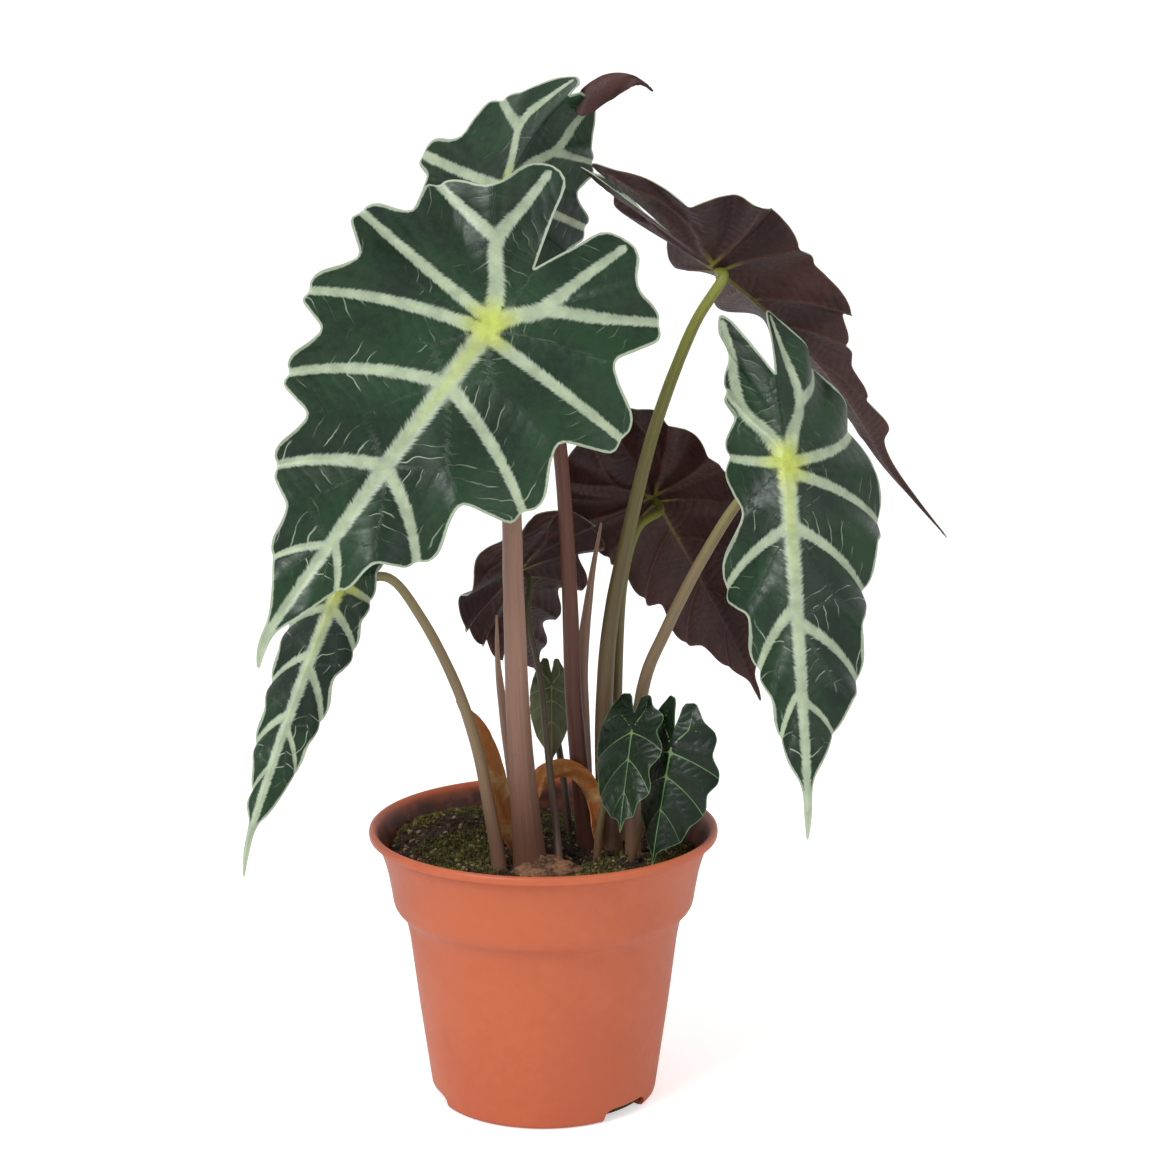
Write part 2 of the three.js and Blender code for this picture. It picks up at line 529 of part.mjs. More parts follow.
const sheath = (name, grow = 0) => rod(SHEATHS[name].path, SHEATHS[name].radii, 9, 12, grow);

// ---------------------------------------------------------------- assembly
const part = new THREE.Group();
part.name = 'potted_alocasia';

function add(name, geometry, color, roughness) {
  const mesh = new THREE.Mesh(geometry, new THREE.MeshStandardMaterial({ color, roughness, metalness: 0 }));
  mesh.name = name;
  part.add(mesh);
}

const stalkSockets = Object.keys(STALKS).map((n) => stalk(n, GAP));
const sheathSockets = Object.keys(SHEATHS).map((n) => sheath(n, GAP));

add('pot', cut(potBody(), drainTools()), 0xd27552, 0.5);
add('potting_soil', cut(soilBody(), [cormBody(GAP), ...stalkSockets, ...sheathSockets]), 0x2e2418, 1);
add('corm', cut(cormBody(), [...stalkSockets, ...sheathSockets]), 0x7d5a3c, 0.8);

const STALK_COLOURS = { front_large: 0x8c6a58, top: 0x7a5046, back_right: 0x7f8452, right: 0xa39a63,
  back_centre: 0x8a8a50, back_left: 0x6f6a45, lower_left: 0x9a8763, small_left: 0x7d7a4a,
  small_right: 0x7d7a4a, small_back: 0x6d5a45 };
const TOP_GREEN = 0x2f4a33;
const UNDER_PURPLE = 0x4a333a;
for (const name of Object.keys(BLADES)) {
  add(`petiole_${name}`, name === 'top' ? trimmedStalk(name) : stalk(name), STALK_COLOURS[name], 0.6);
  const back = name === 'back_right' || name === 'back_centre' || name === 'back_left';
  add(`blade_${name}`, blade(BLADES[name]), back ? UNDER_PURPLE : TOP_GREEN, 0.45);
}
for (const name of Object.keys(SHEATHS)) add(name, sheath(name), 0x8a6a5a, 0.6);
for (const name of Object.keys(BRACTS)) add(name, bract(BRACTS[name]), 0xb07a3c, 0.8);

export default part;
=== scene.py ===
import math

import bpy
import numpy as np
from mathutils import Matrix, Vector


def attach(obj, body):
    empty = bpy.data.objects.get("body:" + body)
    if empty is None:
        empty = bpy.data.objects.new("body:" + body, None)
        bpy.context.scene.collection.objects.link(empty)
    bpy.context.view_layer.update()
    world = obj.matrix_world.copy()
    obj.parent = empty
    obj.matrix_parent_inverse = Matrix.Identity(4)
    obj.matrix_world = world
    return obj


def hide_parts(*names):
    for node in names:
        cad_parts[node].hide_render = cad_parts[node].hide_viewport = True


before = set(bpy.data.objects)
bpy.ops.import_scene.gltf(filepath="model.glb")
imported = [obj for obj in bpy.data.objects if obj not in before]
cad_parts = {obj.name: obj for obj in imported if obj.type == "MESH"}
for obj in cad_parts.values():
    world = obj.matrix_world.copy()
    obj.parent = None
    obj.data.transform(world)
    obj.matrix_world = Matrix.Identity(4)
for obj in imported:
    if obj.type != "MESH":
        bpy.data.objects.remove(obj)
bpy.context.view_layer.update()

MM = 0.001
MIDDLE = (0, 0, 0.2)    # the lights face this point, in metres


# ------------------------------------------------------------------ camera, floor, light
def set_camera():
    data = bpy.data.cameras.new("camera")
    data.lens = 77.7
    data.sensor_width = 36.0
    data.clip_end = 50
    camera = bpy.data.objects.new("camera", data)
    camera.location = (0, -0.836, 0.351)
    camera.rotation_euler = (math.radians(90 - 11.57), 0, math.radians(-0.98))
    bpy.context.collection.objects.link(camera)
    bpy.context.scene.camera = camera


def area_light(name, place, size, power):
    data = bpy.data.lights.new(name, "AREA")
    data.shape = "DISK"
    data.size = size
    data.energy = power
    lamp = bpy.data.objects.new(name, data)
    lamp.location = place
    lamp.rotation_euler = (Vector(MIDDLE) - Vector(place)).to_track_quat("-Z", "Y").to_euler()
    bpy.context.collection.objects.link(lamp)


# ------------------------------------------------------------------ node helpers
class Nodes:
    """Small shorthand for building shader and geometry trees."""

    def __init__(self, tree):
        self.tree = tree

    def add(self, kind, **settings):
        node = self.tree.nodes.new(kind)
        for key, value in settings.items():
            setattr(node, key, value)
        return node

    def put(self, socket, value):
        if isinstance(value, bpy.types.NodeSocket):
            self.tree.links.new(value, socket)
        else:
            socket.default_value = value

    def fed(self, kind, inputs, **settings):
        """A new node with values or links in the inputs that are named or numbered."""
        node = self.add(kind, **settings)
        for label, value in inputs.items():
            self.put(node.inputs[label], value)
        return node

    def math(self, operation, a, b=0.5, clamp=False):
        return self.fed("ShaderNodeMath", {0: a, 1: b}, operation=operation, use_clamp=clamp).outputs[0]

    def plus(self, a, b):
        return self.math("ADD", a, b)

    def minus(self, a, b):
        return self.math("SUBTRACT", a, b)

    def times(self, a, b):
        return self.math("MULTIPLY", a, b)

    def noise(self, vector, scale, detail=2.0, rough=0.5):
        return self.fed("ShaderNodeTexNoise", {"Vector": vector, "Scale": scale, "Detail": detail,
                                               "Roughness": rough}).outputs["Fac"]

    def scaled(self, vector, scale):
        return self.fed("ShaderNodeMapping", {"Vector": vector, "Scale": scale}).outputs["Vector"]

    def vector(self, *parts):
        return self.fed("ShaderNodeCombineXYZ", dict(enumerate(parts))).outputs[0]

    def span(self, value, low, high, out_low=0.0, out_high=1.0, smooth=True):
        inputs = {"Value": value, "From Min": low, "From Max": high, "To Min": out_low, "To Max": out_high}
        kind = "SMOOTHSTEP" if smooth else "LINEAR"
        return self.fed("ShaderNodeMapRange", inputs, interpolation_type=kind).outputs["Result"]

    def blend(self, factor, a, b):
        return self.fed("ShaderNodeMix", {0: factor, 6: a, 7: b}, data_type="RGBA").outputs[2]

    def finish(self, result, shape, skin):
        """Ends a geometry tree: real faces with their material."""
        real = self.fed("GeometryNodeRealizeInstances", {"Geometry": shape}).outputs["Geometry"]
        dressed = self.fed("GeometryNodeSetMaterial", {"Geometry": real, "Material": skin})
        self.put(result, dressed.outputs["Geometry"])

    def read(self, name):
        return self.add("ShaderNodeAttribute", attribute_name=name).outputs["Fac"]

    def place(self):
        return self.add("ShaderNodeTexCoord").outputs["Object"]


def tone(red, green, blue):
    """A colour given in everyday 0 to 255 values, as the linear colour the nodes use."""
    linear = [((v / 255) / 12.92 if v / 255 <= 0.04045 else ((v / 255 + 0.055) / 1.055) ** 2.4)
              for v in (red, green, blue)]
    return (*linear, 1.0)


def node_group(name, tree_kind, inputs, outputs):
    """A new group with named sockets; also its nodes, its given values and its results to fill."""
    tree = bpy.data.node_groups.new(name, tree_kind)
    for label, kind, *default in inputs:
        socket = tree.interface.new_socket(label, in_out="INPUT", socket_type=f"NodeSocket{kind}")
        if default:
            socket.default_value = default[0]
    for label, kind in outputs:
        tree.interface.new_socket(label, in_out="OUTPUT", socket_type=f"NodeSocket{kind}")
    nodes = Nodes(tree)
    return tree, nodes, nodes.add("NodeGroupInput").outputs, nodes.add("NodeGroupOutput").inputs


def numbers(**defaults):
    """Number inputs of a group, with their defaults."""
    return [(label.replace("_", " "), "Float", default) for label, default in defaults.items()]


def use(nodes, group, **values):
    node = nodes.add("ShaderNodeGroup")
    node.node_tree = group
    for label, value in values.items():
        nodes.put(node.inputs[label.replace("_", " ")], value)
    return node.outputs


def new_material(name):
    material = bpy.data.materials.new(name)
    material.use_nodes = True
    nodes = Nodes(material.node_tree)
    surface = next(n for n in material.node_tree.nodes if n.type == "BSDF_PRINCIPLED")
    return material, nodes, surface


def bump(nodes, surface, height, strength, distance):
    node = nodes.fed("ShaderNodeBump", {"Strength": strength, "Distance": distance, "Height": height})
    nodes.put(surface.inputs["Normal"], node.outputs["Normal"])


# ------------------------------------------------------------------ shared shader groups
def make_mottle():
    """Two colours in soft irregular patches, with finer flecks of the second."""
    tree, n, given, out = node_group(
        "mottle", "ShaderNodeTree",
        [("First", "Color", (0.5, 0.5, 0.5, 1)), ("Second", "Color", (0.2, 0.2, 0.2, 1)),
         *numbers(Patch_Scale=40.0, Fleck_Scale=600.0, Flecks=0.3)],
        [("Color", "Color"), ("Height", "Float")])
    place = n.place()
    patch = n.noise(place, given["Patch Scale"], 4.0, 0.6)
    fleck = n.noise(place, given["Fleck Scale"], 3.0, 0.65)
    amount = n.span(n.plus(patch, n.times(n.minus(fleck, 0.5),
                                                given["Flecks"])), 0.35, 0.65)
    n.put(out["Color"], n.blend(amount, given["First"], given["Second"]))
    n.put(out["Height"], fleck)
    return tree


def make_leaf_pattern():
    """Masks of a blade from its own attributes: broad feathered veins, thin cross veins,
    pale margin and the hub where the stalk joins."""
    tree, n, given, out = node_group(
        "leaf pattern", "ShaderNodeTree",
        numbers(Vein_Width=1.0, Feather=0.8, Fine_Amount=0.6, Fine_Spacing=5.0, Margin_Width=1.5),
        [(label, "Float") for label in ("Veins", "Core", "Fine", "Margin", "Hub", "Quilt")])
    plan = n.add("ShaderNodeUVMap", uv_map="plan").outputs["UV"]
    vein = n.math("DIVIDE", n.read("vein"), given["Vein Width"])
    arc = n.read("arc")
    coarse = n.noise(plan, 38.0, 2.0, 0.6)
    spikes = n.noise(n.vector(n.times(arc, 1.35), n.times(vein, 0.35)), 1.0, 1.5, 0.5)
    shift = n.times(n.minus(spikes, 0.5), given["Feather"])
    ragged = n.plus(vein, n.plus(shift, n.times(n.minus(coarse, 0.5), 0.35)))
    n.put(out["Veins"], n.span(ragged, 1.22, 0.62))
    n.put(out["Core"], n.span(vein, 0.42, 0.05))
    wander = n.times(n.noise(plan, 9.0, 2.0, 0.5), 1.3)
    cycle = n.math("FRACT", n.plus(n.math("DIVIDE", arc, given["Fine Spacing"]), wander))
    ridge = n.math("ABSOLUTE", n.minus(cycle, 0.5))
    line = n.span(ridge, 0.055, 0.015)
    keep = n.span(n.noise(plan, 6.0, 2.0, 0.5), 0.5, 0.62)
    near = n.span(vein, 9.0, 2.0)
    lower = n.span(n.read("along"), -0.1, 0.45, 0.35, 1.0)
    fine = n.times(n.times(line, keep), n.times(near, lower))
    n.put(out["Fine"], n.times(fine, given["Fine Amount"]))
    n.put(out["Quilt"], n.minus(1.0, n.span(ridge, 0.4, 0.0)))
    rim = n.plus(n.read("edge"), n.times(n.minus(n.noise(plan, 60.0, 2.0), 0.5), 0.5))
    n.put(out["Margin"], n.span(rim, given["Margin Width"], n.times(given["Margin Width"], 0.5)))
    ahead = n.times(n.span(n.read("along"), -0.05, 0.0), n.span(n.read("rib"), 1.0, 0.2))
    glow = n.times(n.span(n.read("along"), 0.5, 0.0, 0.0, 0.55), ahead)
    n.put(out["Hub"], n.math("MAXIMUM", n.span(n.read("hub"), 13.0, 1.5), glow))
    return tree


MOTTLE = make_mottle()
LEAF_PATTERN = make_leaf_pattern()


# ------------------------------------------------------------------ materials
def upper_leaf(name, deep, fresh, vein_tone, hub_tone, width=1.0, fine=0.6, spacing=5.0,
               margin=1.5, feather=0.8, roughness=0.36):
    material, n, surface = new_material(name)
    pattern = use(n, LEAF_PATTERN, Vein_Width=width, Fine_Amount=fine, Fine_Spacing=spacing,
                  Margin_Width=margin, Feather=feather)
    skin = use(n, MOTTLE, First=deep, Second=fresh, Patch_Scale=28.0, Fleck_Scale=420.0, Flecks=0.35)
    vein = n.blend(pattern["Hub"], vein_tone, hub_tone)
    core = n.blend(0.35, vein_tone, tone(186, 212, 132))
    pale = n.blend(n.times(pattern["Core"], 0.8), vein, n.blend(pattern["Hub"], core, hub_tone))
    patchy = n.span(n.noise(n.place(), 160.0, 3.0, 0.6), 0.3, 0.7, 0.72, 1.0)
    colour = n.blend(pattern["Fine"], skin["Color"], vein_tone)
    colour = n.blend(n.times(pattern["Margin"], 0.85), colour, vein_tone)
    colour = n.blend(n.times(pattern["Veins"], patchy), colour, pale)
    n.put(surface.inputs["Base Color"], colour)
    grain = n.noise(n.place(), 900.0, 3.0, 0.6)
    n.put(surface.inputs["Roughness"], n.span(grain, 0.3, 0.7, roughness - 0.06, roughness + 0.1))
    surface.inputs["Specular IOR Level"].default_value = 0.36
    surface.inputs["Coat Weight"].default_value = 0.07
    surface.inputs["Coat Roughness"].default_value = 0.25
    height = n.plus(n.times(pattern["Quilt"], 0.6), n.times(grain, 0.25))
    bump(n, surface, n.minus(height, n.times(pattern["Veins"], 0.35)), 0.22, 0.0006)
    return material


def lower_leaf(name, dark, warm, vein_tone, hub_tone):
    material, n, surface = new_material(name)
    pattern = use(n, LEAF_PATTERN, Vein_Width=0.3, Fine_Amount=0.8, Fine_Spacing=3.6,
                  Margin_Width=0.6, Feather=0.1)
    skin = use(n, MOTTLE, First=dark, Second=warm, Patch_Scale=24.0, Fleck_Scale=500.0, Flecks=0.3)
    colour = n.blend(n.times(pattern["Fine"], 0.3), skin["Color"], vein_tone)
    colour = n.blend(n.times(pattern["Margin"], 0.6), colour, vein_tone)
    shown = n.blend(pattern["Hub"], n.blend(0.5, skin["Color"], vein_tone), hub_tone)
    colour = n.blend(n.times(pattern["Veins"], 0.75), colour, shown)
    n.put(surface.inputs["Base Color"], colour)
    grain = n.noise(n.place(), 800.0, 3.0, 0.6)
    n.put(surface.inputs["Roughness"], n.span(grain, 0.3, 0.7, 0.42, 0.58))
    height = n.plus(n.times(pattern["Quilt"], 0.7), n.times(grain, 0.2))
    surface.inputs["Specular IOR Level"].default_value = 0.35
    bump(n, surface, height, 0.22, 0.0007)
    return material


def stalk_skin(name, foot, middle, top, stretch=0.5):
    """Smooth fleshy skin with fine streaks along the stalk, paler or greener to the top."""
    material, n, surface = new_material(name)
    along = n.read("along")
    around = n.times(n.read("around"), 6.28319)
    circle = [n.times(n.math(kind, around), 7.0) for kind in ("COSINE", "SINE")]
    streak = n.noise(n.vector(n.times(along, 6.0), *circle), 1.0, 4.0, 0.65)
    lower = n.blend(n.span(along, 0.0, stretch), foot, middle)
    skin = n.blend(n.span(along, stretch, 1.0), lower, top)
    darker = n.blend(0.3, skin, tone(60, 38, 30))
    colour = n.blend(n.span(streak, 0.45, 0.8), skin, darker)
    lighter = n.blend(0.2, skin, tone(205, 190, 165))
    colour = n.blend(n.span(streak, 0.44, 0.2), colour, lighter)
    speck = n.span(n.noise(n.scaled(n.place(), (1, 1, 0.4)), 700.0, 2.0, 0.5), 0.62, 0.7, 0.0, 0.3)
    colour = n.blend(speck, colour, darker)
    n.put(surface.inputs["Base Color"], colour)
    n.put(surface.inputs["Roughness"], n.span(streak, 0.2, 0.8, 0.36, 0.55))
    surface.inputs["Coat Weight"].default_value = 0.12
    surface.inputs["Coat Roughness"].default_value = 0.35
    bump(n, surface, streak, 0.1, 0.0004)
    return material


# The collar's inner wall, which gets soil dirt and painted shade, in metres: less far from the axis than slope
# times height plus this.
COLLAR_SLOPE = 0.4255
INNER_WALL = (0.0178, 0.0175)


def pot_plastic():
    material, n, surface = new_material("terracotta plastic")
    place = n.place()
    tint = use(n, MOTTLE, First=tone(204, 104, 66), Second=tone(196, 97, 61), Patch_Scale=16.0,
               Fleck_Scale=260.0, Flecks=0.3)
    dust = n.span(n.noise(place, 70.0, 5.0, 0.7), 0.66, 0.84, 0.0, 0.3)
    outer = n.blend(dust, tint["Color"], tone(212, 124, 92))
    x, y, height = n.fed("ShaderNodeSeparateXYZ", {0: place}).outputs
    radius = n.fed("ShaderNodeVectorMath", {0: n.vector(x, y)}, operation="LENGTH").outputs["Value"]
    beyond = n.minus(radius, n.times(height, COLLAR_SLOPE))
    # Mask of the inner wall below the lip, which is darkened by real soil dirt and by painted shade.
    inner_wall_dirt_and_shade = n.times(n.span(beyond, *INNER_WALL), n.span(height, 0.096, 0.0935))
    splash = n.span(n.noise(place, 130.0, 4.0, 0.7), 0.35, 0.65, 0.75, 1.0)
    # Dark tone on the inner wall: soil dirt in noisy splashes, plus painted shade that deepens further down
    # the wall.
    dirt_and_shade_tone = n.blend(n.times(splash, n.span(height, 0.0965, 0.091, 0.4, 1.0)), outer, tone(62, 28, 16))
    n.put(surface.inputs["Base Color"], n.blend(inner_wall_dirt_and_shade, outer, dirt_and_shade_tone))
    grain = n.noise(place, 1400.0, 2.0, 0.5)
    n.put(surface.inputs["Roughness"], n.span(n.noise(place, 45.0, 4.0, 0.6), 0.3, 0.7, 0.34, 0.46))
    drawn = n.noise(n.scaled(place, (1, 1, 0.25)), 60.0)
    bump(n, surface, n.plus(grain, n.times(drawn, 1.5)), 0.12, 0.0004)
    return material


def earth():
    material, n, surface = new_material("peat soil")
    place = n.place()
    base = use(n, MOTTLE, First=tone(38, 28, 20), Second=tone(74, 56, 36), Patch_Scale=150.0,
               Fleck_Scale=1500.0, Flecks=0.7)
    green = n.span(n.noise(place, 45.0, 3.0, 0.6), 0.5, 0.66, 0.0, 0.75)
    speck = n.span(n.noise(place, 1100.0, 2.0, 0.6), 0.55, 0.65)
    moss = n.blend(speck, tone(58, 60, 24), tone(118, 112, 50))
    n.put(surface.inputs["Base Color"], n.blend(green, base["Color"], moss))
    surface.inputs["Roughness"].default_value = 0.95
    height = n.plus(n.noise(place, 500.0, 5.0, 0.7), n.times(n.noise(place, 1500.0, 3.0), 0.5))
    bump(n, surface, height, 1.0, 0.0015)
    return material


def crumbs_skin(name, dark, light, odd):
    """Loose grains: every grain has its own shade from its 'tint'."""
    material, n, surface = new_material(name)
    tint = n.read("tint")
    flecks = n.noise(n.place(), 1600.0, 2.0, 0.6)
    share = n.math("ADD", tint, n.times(n.minus(flecks, 0.5), 0.5), clamp=True)
    colour = n.blend(share, dark, light)
    n.put(surface.inputs["Base Color"], n.blend(n.span(tint, 0.86, 0.9), colour, odd))
    surface.inputs["Roughness"].default_value = 0.9
    bump(n, surface, flecks, 0.6, 0.0006)
    return material


def dry_paper():
    material, n, surface = new_material("dry bract")
    plan = n.add("ShaderNodeUVMap", uv_map="plan").outputs["UV"]
    fibre = n.noise(n.scaled(plan, (4.0, 60.0, 1.0)), 1.0, 5.0, 0.7)
    patch = n.noise(n.place(), 120.0, 4.0, 0.6)
    colour = n.blend(n.span(fibre, 0.35, 0.7), tone(226, 148, 76), tone(176, 98, 40))
    colour = n.blend(n.span(patch, 0.5, 0.72), colour, tone(238, 192, 132))
    n.put(surface.inputs["Base Color"], colour)
    n.put(surface.inputs["Roughness"], n.span(patch, 0.3, 0.7, 0.6, 0.85))
    bump(n, surface, n.plus(fibre, n.times(patch, 0.6)), 0.7, 0.0012)
    return material


def corm_bark():
    material, n, surface = new_material("corm bark")
    place = n.place()
    bark = use(n, MOTTLE, First=tone(150, 108, 78), Second=tone(82, 54, 38), Patch_Scale=120.0,
               Fleck_Scale=900.0, Flecks=0.8)
    bands = n.noise(n.scaled(place, (60.0, 60.0, 520.0)), 1.0, 3.0, 0.6)
    n.put(surface.inputs["Base Color"], n.blend(n.span(bands, 0.45, 0.65), bark["Color"], tone(60, 40, 30)))
    surface.inputs["Roughness"].default_value = 0.8
    bump(n, surface, n.plus(bands, bark["Height"]), 0.8, 0.0012)
    return material


def floor_white():
    material, n, surface = new_material("pale floor")
    haze = n.noise(n.place(), 3.0, 2.0)
    n.put(surface.inputs["Base Color"], n.blend(haze, tone(252, 252, 252), tone(250, 250, 249)))
    surface.inputs["Roughness"].default_value = 0.8
    surface.inputs["Emission Color"].default_value = (1, 1, 1, 1)
    seen = n.add("ShaderNodeLightPath").outputs["Is Camera Ray"]
    n.put(surface.inputs["Emission Strength"], n.times(seen, 0.5))
    return material


PALE = tone(182, 196, 170)
LEAF_TOP = upper_leaf("leaf upper side", tone(14, 38, 22), tone(30, 62, 34), PALE, tone(200, 212, 96),
                      margin=0.9, fine=0.75, spacing=5.5, feather=0.75)
LEAF_TOP_SMALL = upper_leaf("young leaf upper side", tone(10, 30, 12), tone(18, 46, 20), tone(96, 132, 84),
                            tone(122, 154, 96), width=0.8, fine=0.15, spacing=3.0, margin=0.3,
                            feather=0.4, roughness=0.34)
LEAF_TOP_OLD = upper_leaf("pale leaf upper side", tone(76, 84, 50), tone(104, 110, 72), tone(138, 140, 100),
                          tone(146, 148, 104), width=0.9, fine=0.2, spacing=3.0, margin=0.3, feather=0.4,
                          roughness=0.5)
LEAF_UNDER = lower_leaf("leaf underside", tone(50, 28, 27), tone(76, 46, 42), tone(104, 68, 56),
                        tone(150, 146, 46))
STALK_SKINS = {
    "rosy": stalk_skin("rosy stalk skin", tone(118, 80, 66), tone(152, 114, 94), tone(160, 128, 104)),
    "russet": stalk_skin("russet stalk skin", tone(98, 58, 46), tone(112, 68, 52), tone(118, 76, 58)),
    "olive": stalk_skin("olive stalk skin", tone(120, 84, 64), tone(116, 100, 62), tone(142, 148, 60), 0.45),
    "straw": stalk_skin("straw stalk skin", tone(128, 94, 78), tone(142, 120, 88), tone(160, 152, 96)),
    "dusky": stalk_skin("dusky stalk skin", tone(92, 64, 52), tone(80, 66, 44), tone(78, 80, 46)),
}
POT = pot_plastic()
SOIL = earth()
PAPER = dry_paper()
BARK = corm_bark()
CRUMBS = crumbs_skin("soil crumbs", tone(24, 16, 10), tone(80, 58, 36), tone(150, 132, 96))
MOSS = crumbs_skin("moss tufts", tone(52, 56, 20), tone(128, 124, 52), tone(150, 138, 66))


# ------------------------------------------------------------------ mesh helpers
def finish_mesh(name, points, faces, materials, kinds=None, attributes=None, plan=None, sharp=None):
    """Makes a mesh object at the origin from millimetre points."""
    mesh = bpy.data.meshes.new(name)
    mesh.from_pydata((np.asarray(points) * MM).tolist(), [], faces)
    for material in materials:
        mesh.materials.append(material)
    if kinds is not None:
        mesh.polygons.foreach_set("material_index", np.asarray(kinds, dtype=np.int32))
    mesh.polygons.foreach_set("use_smooth", np.ones(len(mesh.polygons), dtype=bool))
    for key, values in (attributes or {}).items():
        data = mesh.attributes.new(key, "FLOAT", "POINT").data
        data.foreach_set("value", np.asarray(values, dtype=np.float32))
    if plan is not None:
        corners = np.zeros(len(mesh.loops), dtype=np.int32)
        mesh.loops.foreach_get("vertex_index", corners)
        layer = mesh.uv_layers.new(name="plan")
        layer.data.foreach_set("uv", np.asarray(plan, dtype=np.float32)[corners].ravel())
    mesh.update()
    if sharp is not None:
        mesh.set_sharp_from_angle(angle=math.radians(sharp))
    return add_piece(name, mesh)


def apply_modifiers(piece):
    """Turns the evaluated piece into a plain mesh and drops its modifiers."""
    graph = bpy.context.evaluated_depsgraph_get()
    mesh = bpy.data.meshes.new_from_object(piece.evaluated_get(graph), preserve_all_data_layers=True,
                                           depsgraph=graph)
    piece.modifiers.clear()
    piece.data = mesh


def add_piece(name, mesh):
    piece = bpy.data.objects.new(name, mesh)
    bpy.context.collection.objects.link(piece)
    return piece


def turned_faces(around, rings):
    """Faces of a closed body made of a point, rings of points and a last point."""
    faces = []
    last = 1 + around * rings
    for k in range(around):
        m = (k + 1) % around
        faces.append((0, 1 + k, 1 + m))
        for a in range(1, last - around, around):
            faces.append((a + k, a + around + k, a + around + m, a + m))
        faces.append((last - around + k, last, last - around + m))
    return faces


def sheet_faces(rows, cols, start=0):
    """Point numbers of a grid and the four-sided faces between them."""
    index = start + np.arange(rows * cols).reshape(rows, cols)
    quads = np.stack([index[:-1, :-1], index[:-1, 1:], index[1:, 1:], index[1:, :-1]], -1)
    return index, quads.reshape(-1, 4).tolist()


def thin_body(name, above, below, top, loop, materials, attributes, plan):
    """A sheet with its underside and the band between them; attributes are those of one side."""
    count = len(above)
    after = np.roll(loop, -1)
    band = np.stack([after, loop, loop + count, after + count], -1).tolist()
    low = [[v + count for v in reversed(f)] for f in top]
    kinds = [0] * len(top) + [len(materials) - 1] * len(low) + [0] * len(band)
    return finish_mesh(name, np.vstack([above, below]), top + low + band, materials, kinds,
                       {key: np.tile(values, 2) for key, values in attributes.items()},
                       np.vstack([plan, plan]), sharp=60)


def keep(piece, slot, *nodes):
    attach(piece, "root")
    if nodes:
        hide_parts(*nodes)


def smooth_path(points, count):
    """Evenly numbered points on the curve that runs smoothly through the given ones."""
    p = np.asarray(points, float)
    ext = np.vstack([2 * p[0] - p[1], p, 2 * p[-1] - p[-2]])
    at = np.linspace(0, len(p) - 1, count)
    i = np.minimum(at.astype(int), len(p) - 2)
    u = (at - i)[:, None]
    a, b, c, d = ext[i], ext[i + 1], ext[i + 2], ext[i + 3]
    square, cube = 2 * a - 5 * b + 4 * c - d, 3 * b - a - 3 * c + d
    return 0.5 * (2 * b + (c - a) * u + square * u ** 2 + cube * u ** 3)


# ------------------------------------------------------------------ blades
SINUS = 0.2    # how far behind the stalk the two halves part, in midrib lengths
# Margin between two vein ends: share of the way, share of the distance outwards.
SCALLOPS = [(0.14, 0.04), (0.3, -0.11), (0.45, -0.25), (0.6, -0.18), (0.78, 0.0), (0.9, 0.04)]
SHOULDER = [(0.2, 0.07), (0.45, -0.08), (0.62, -0.1), (0.8, 0.0), (0.92, 0.03)]


def half(lobe, *veins):
    """Lobe end (along, out, inner edge out) and veins (leaves the midrib at, ends along, ends out)
    of one half, in midrib lengths."""
    return dict(lobe=lobe, veins=veins)


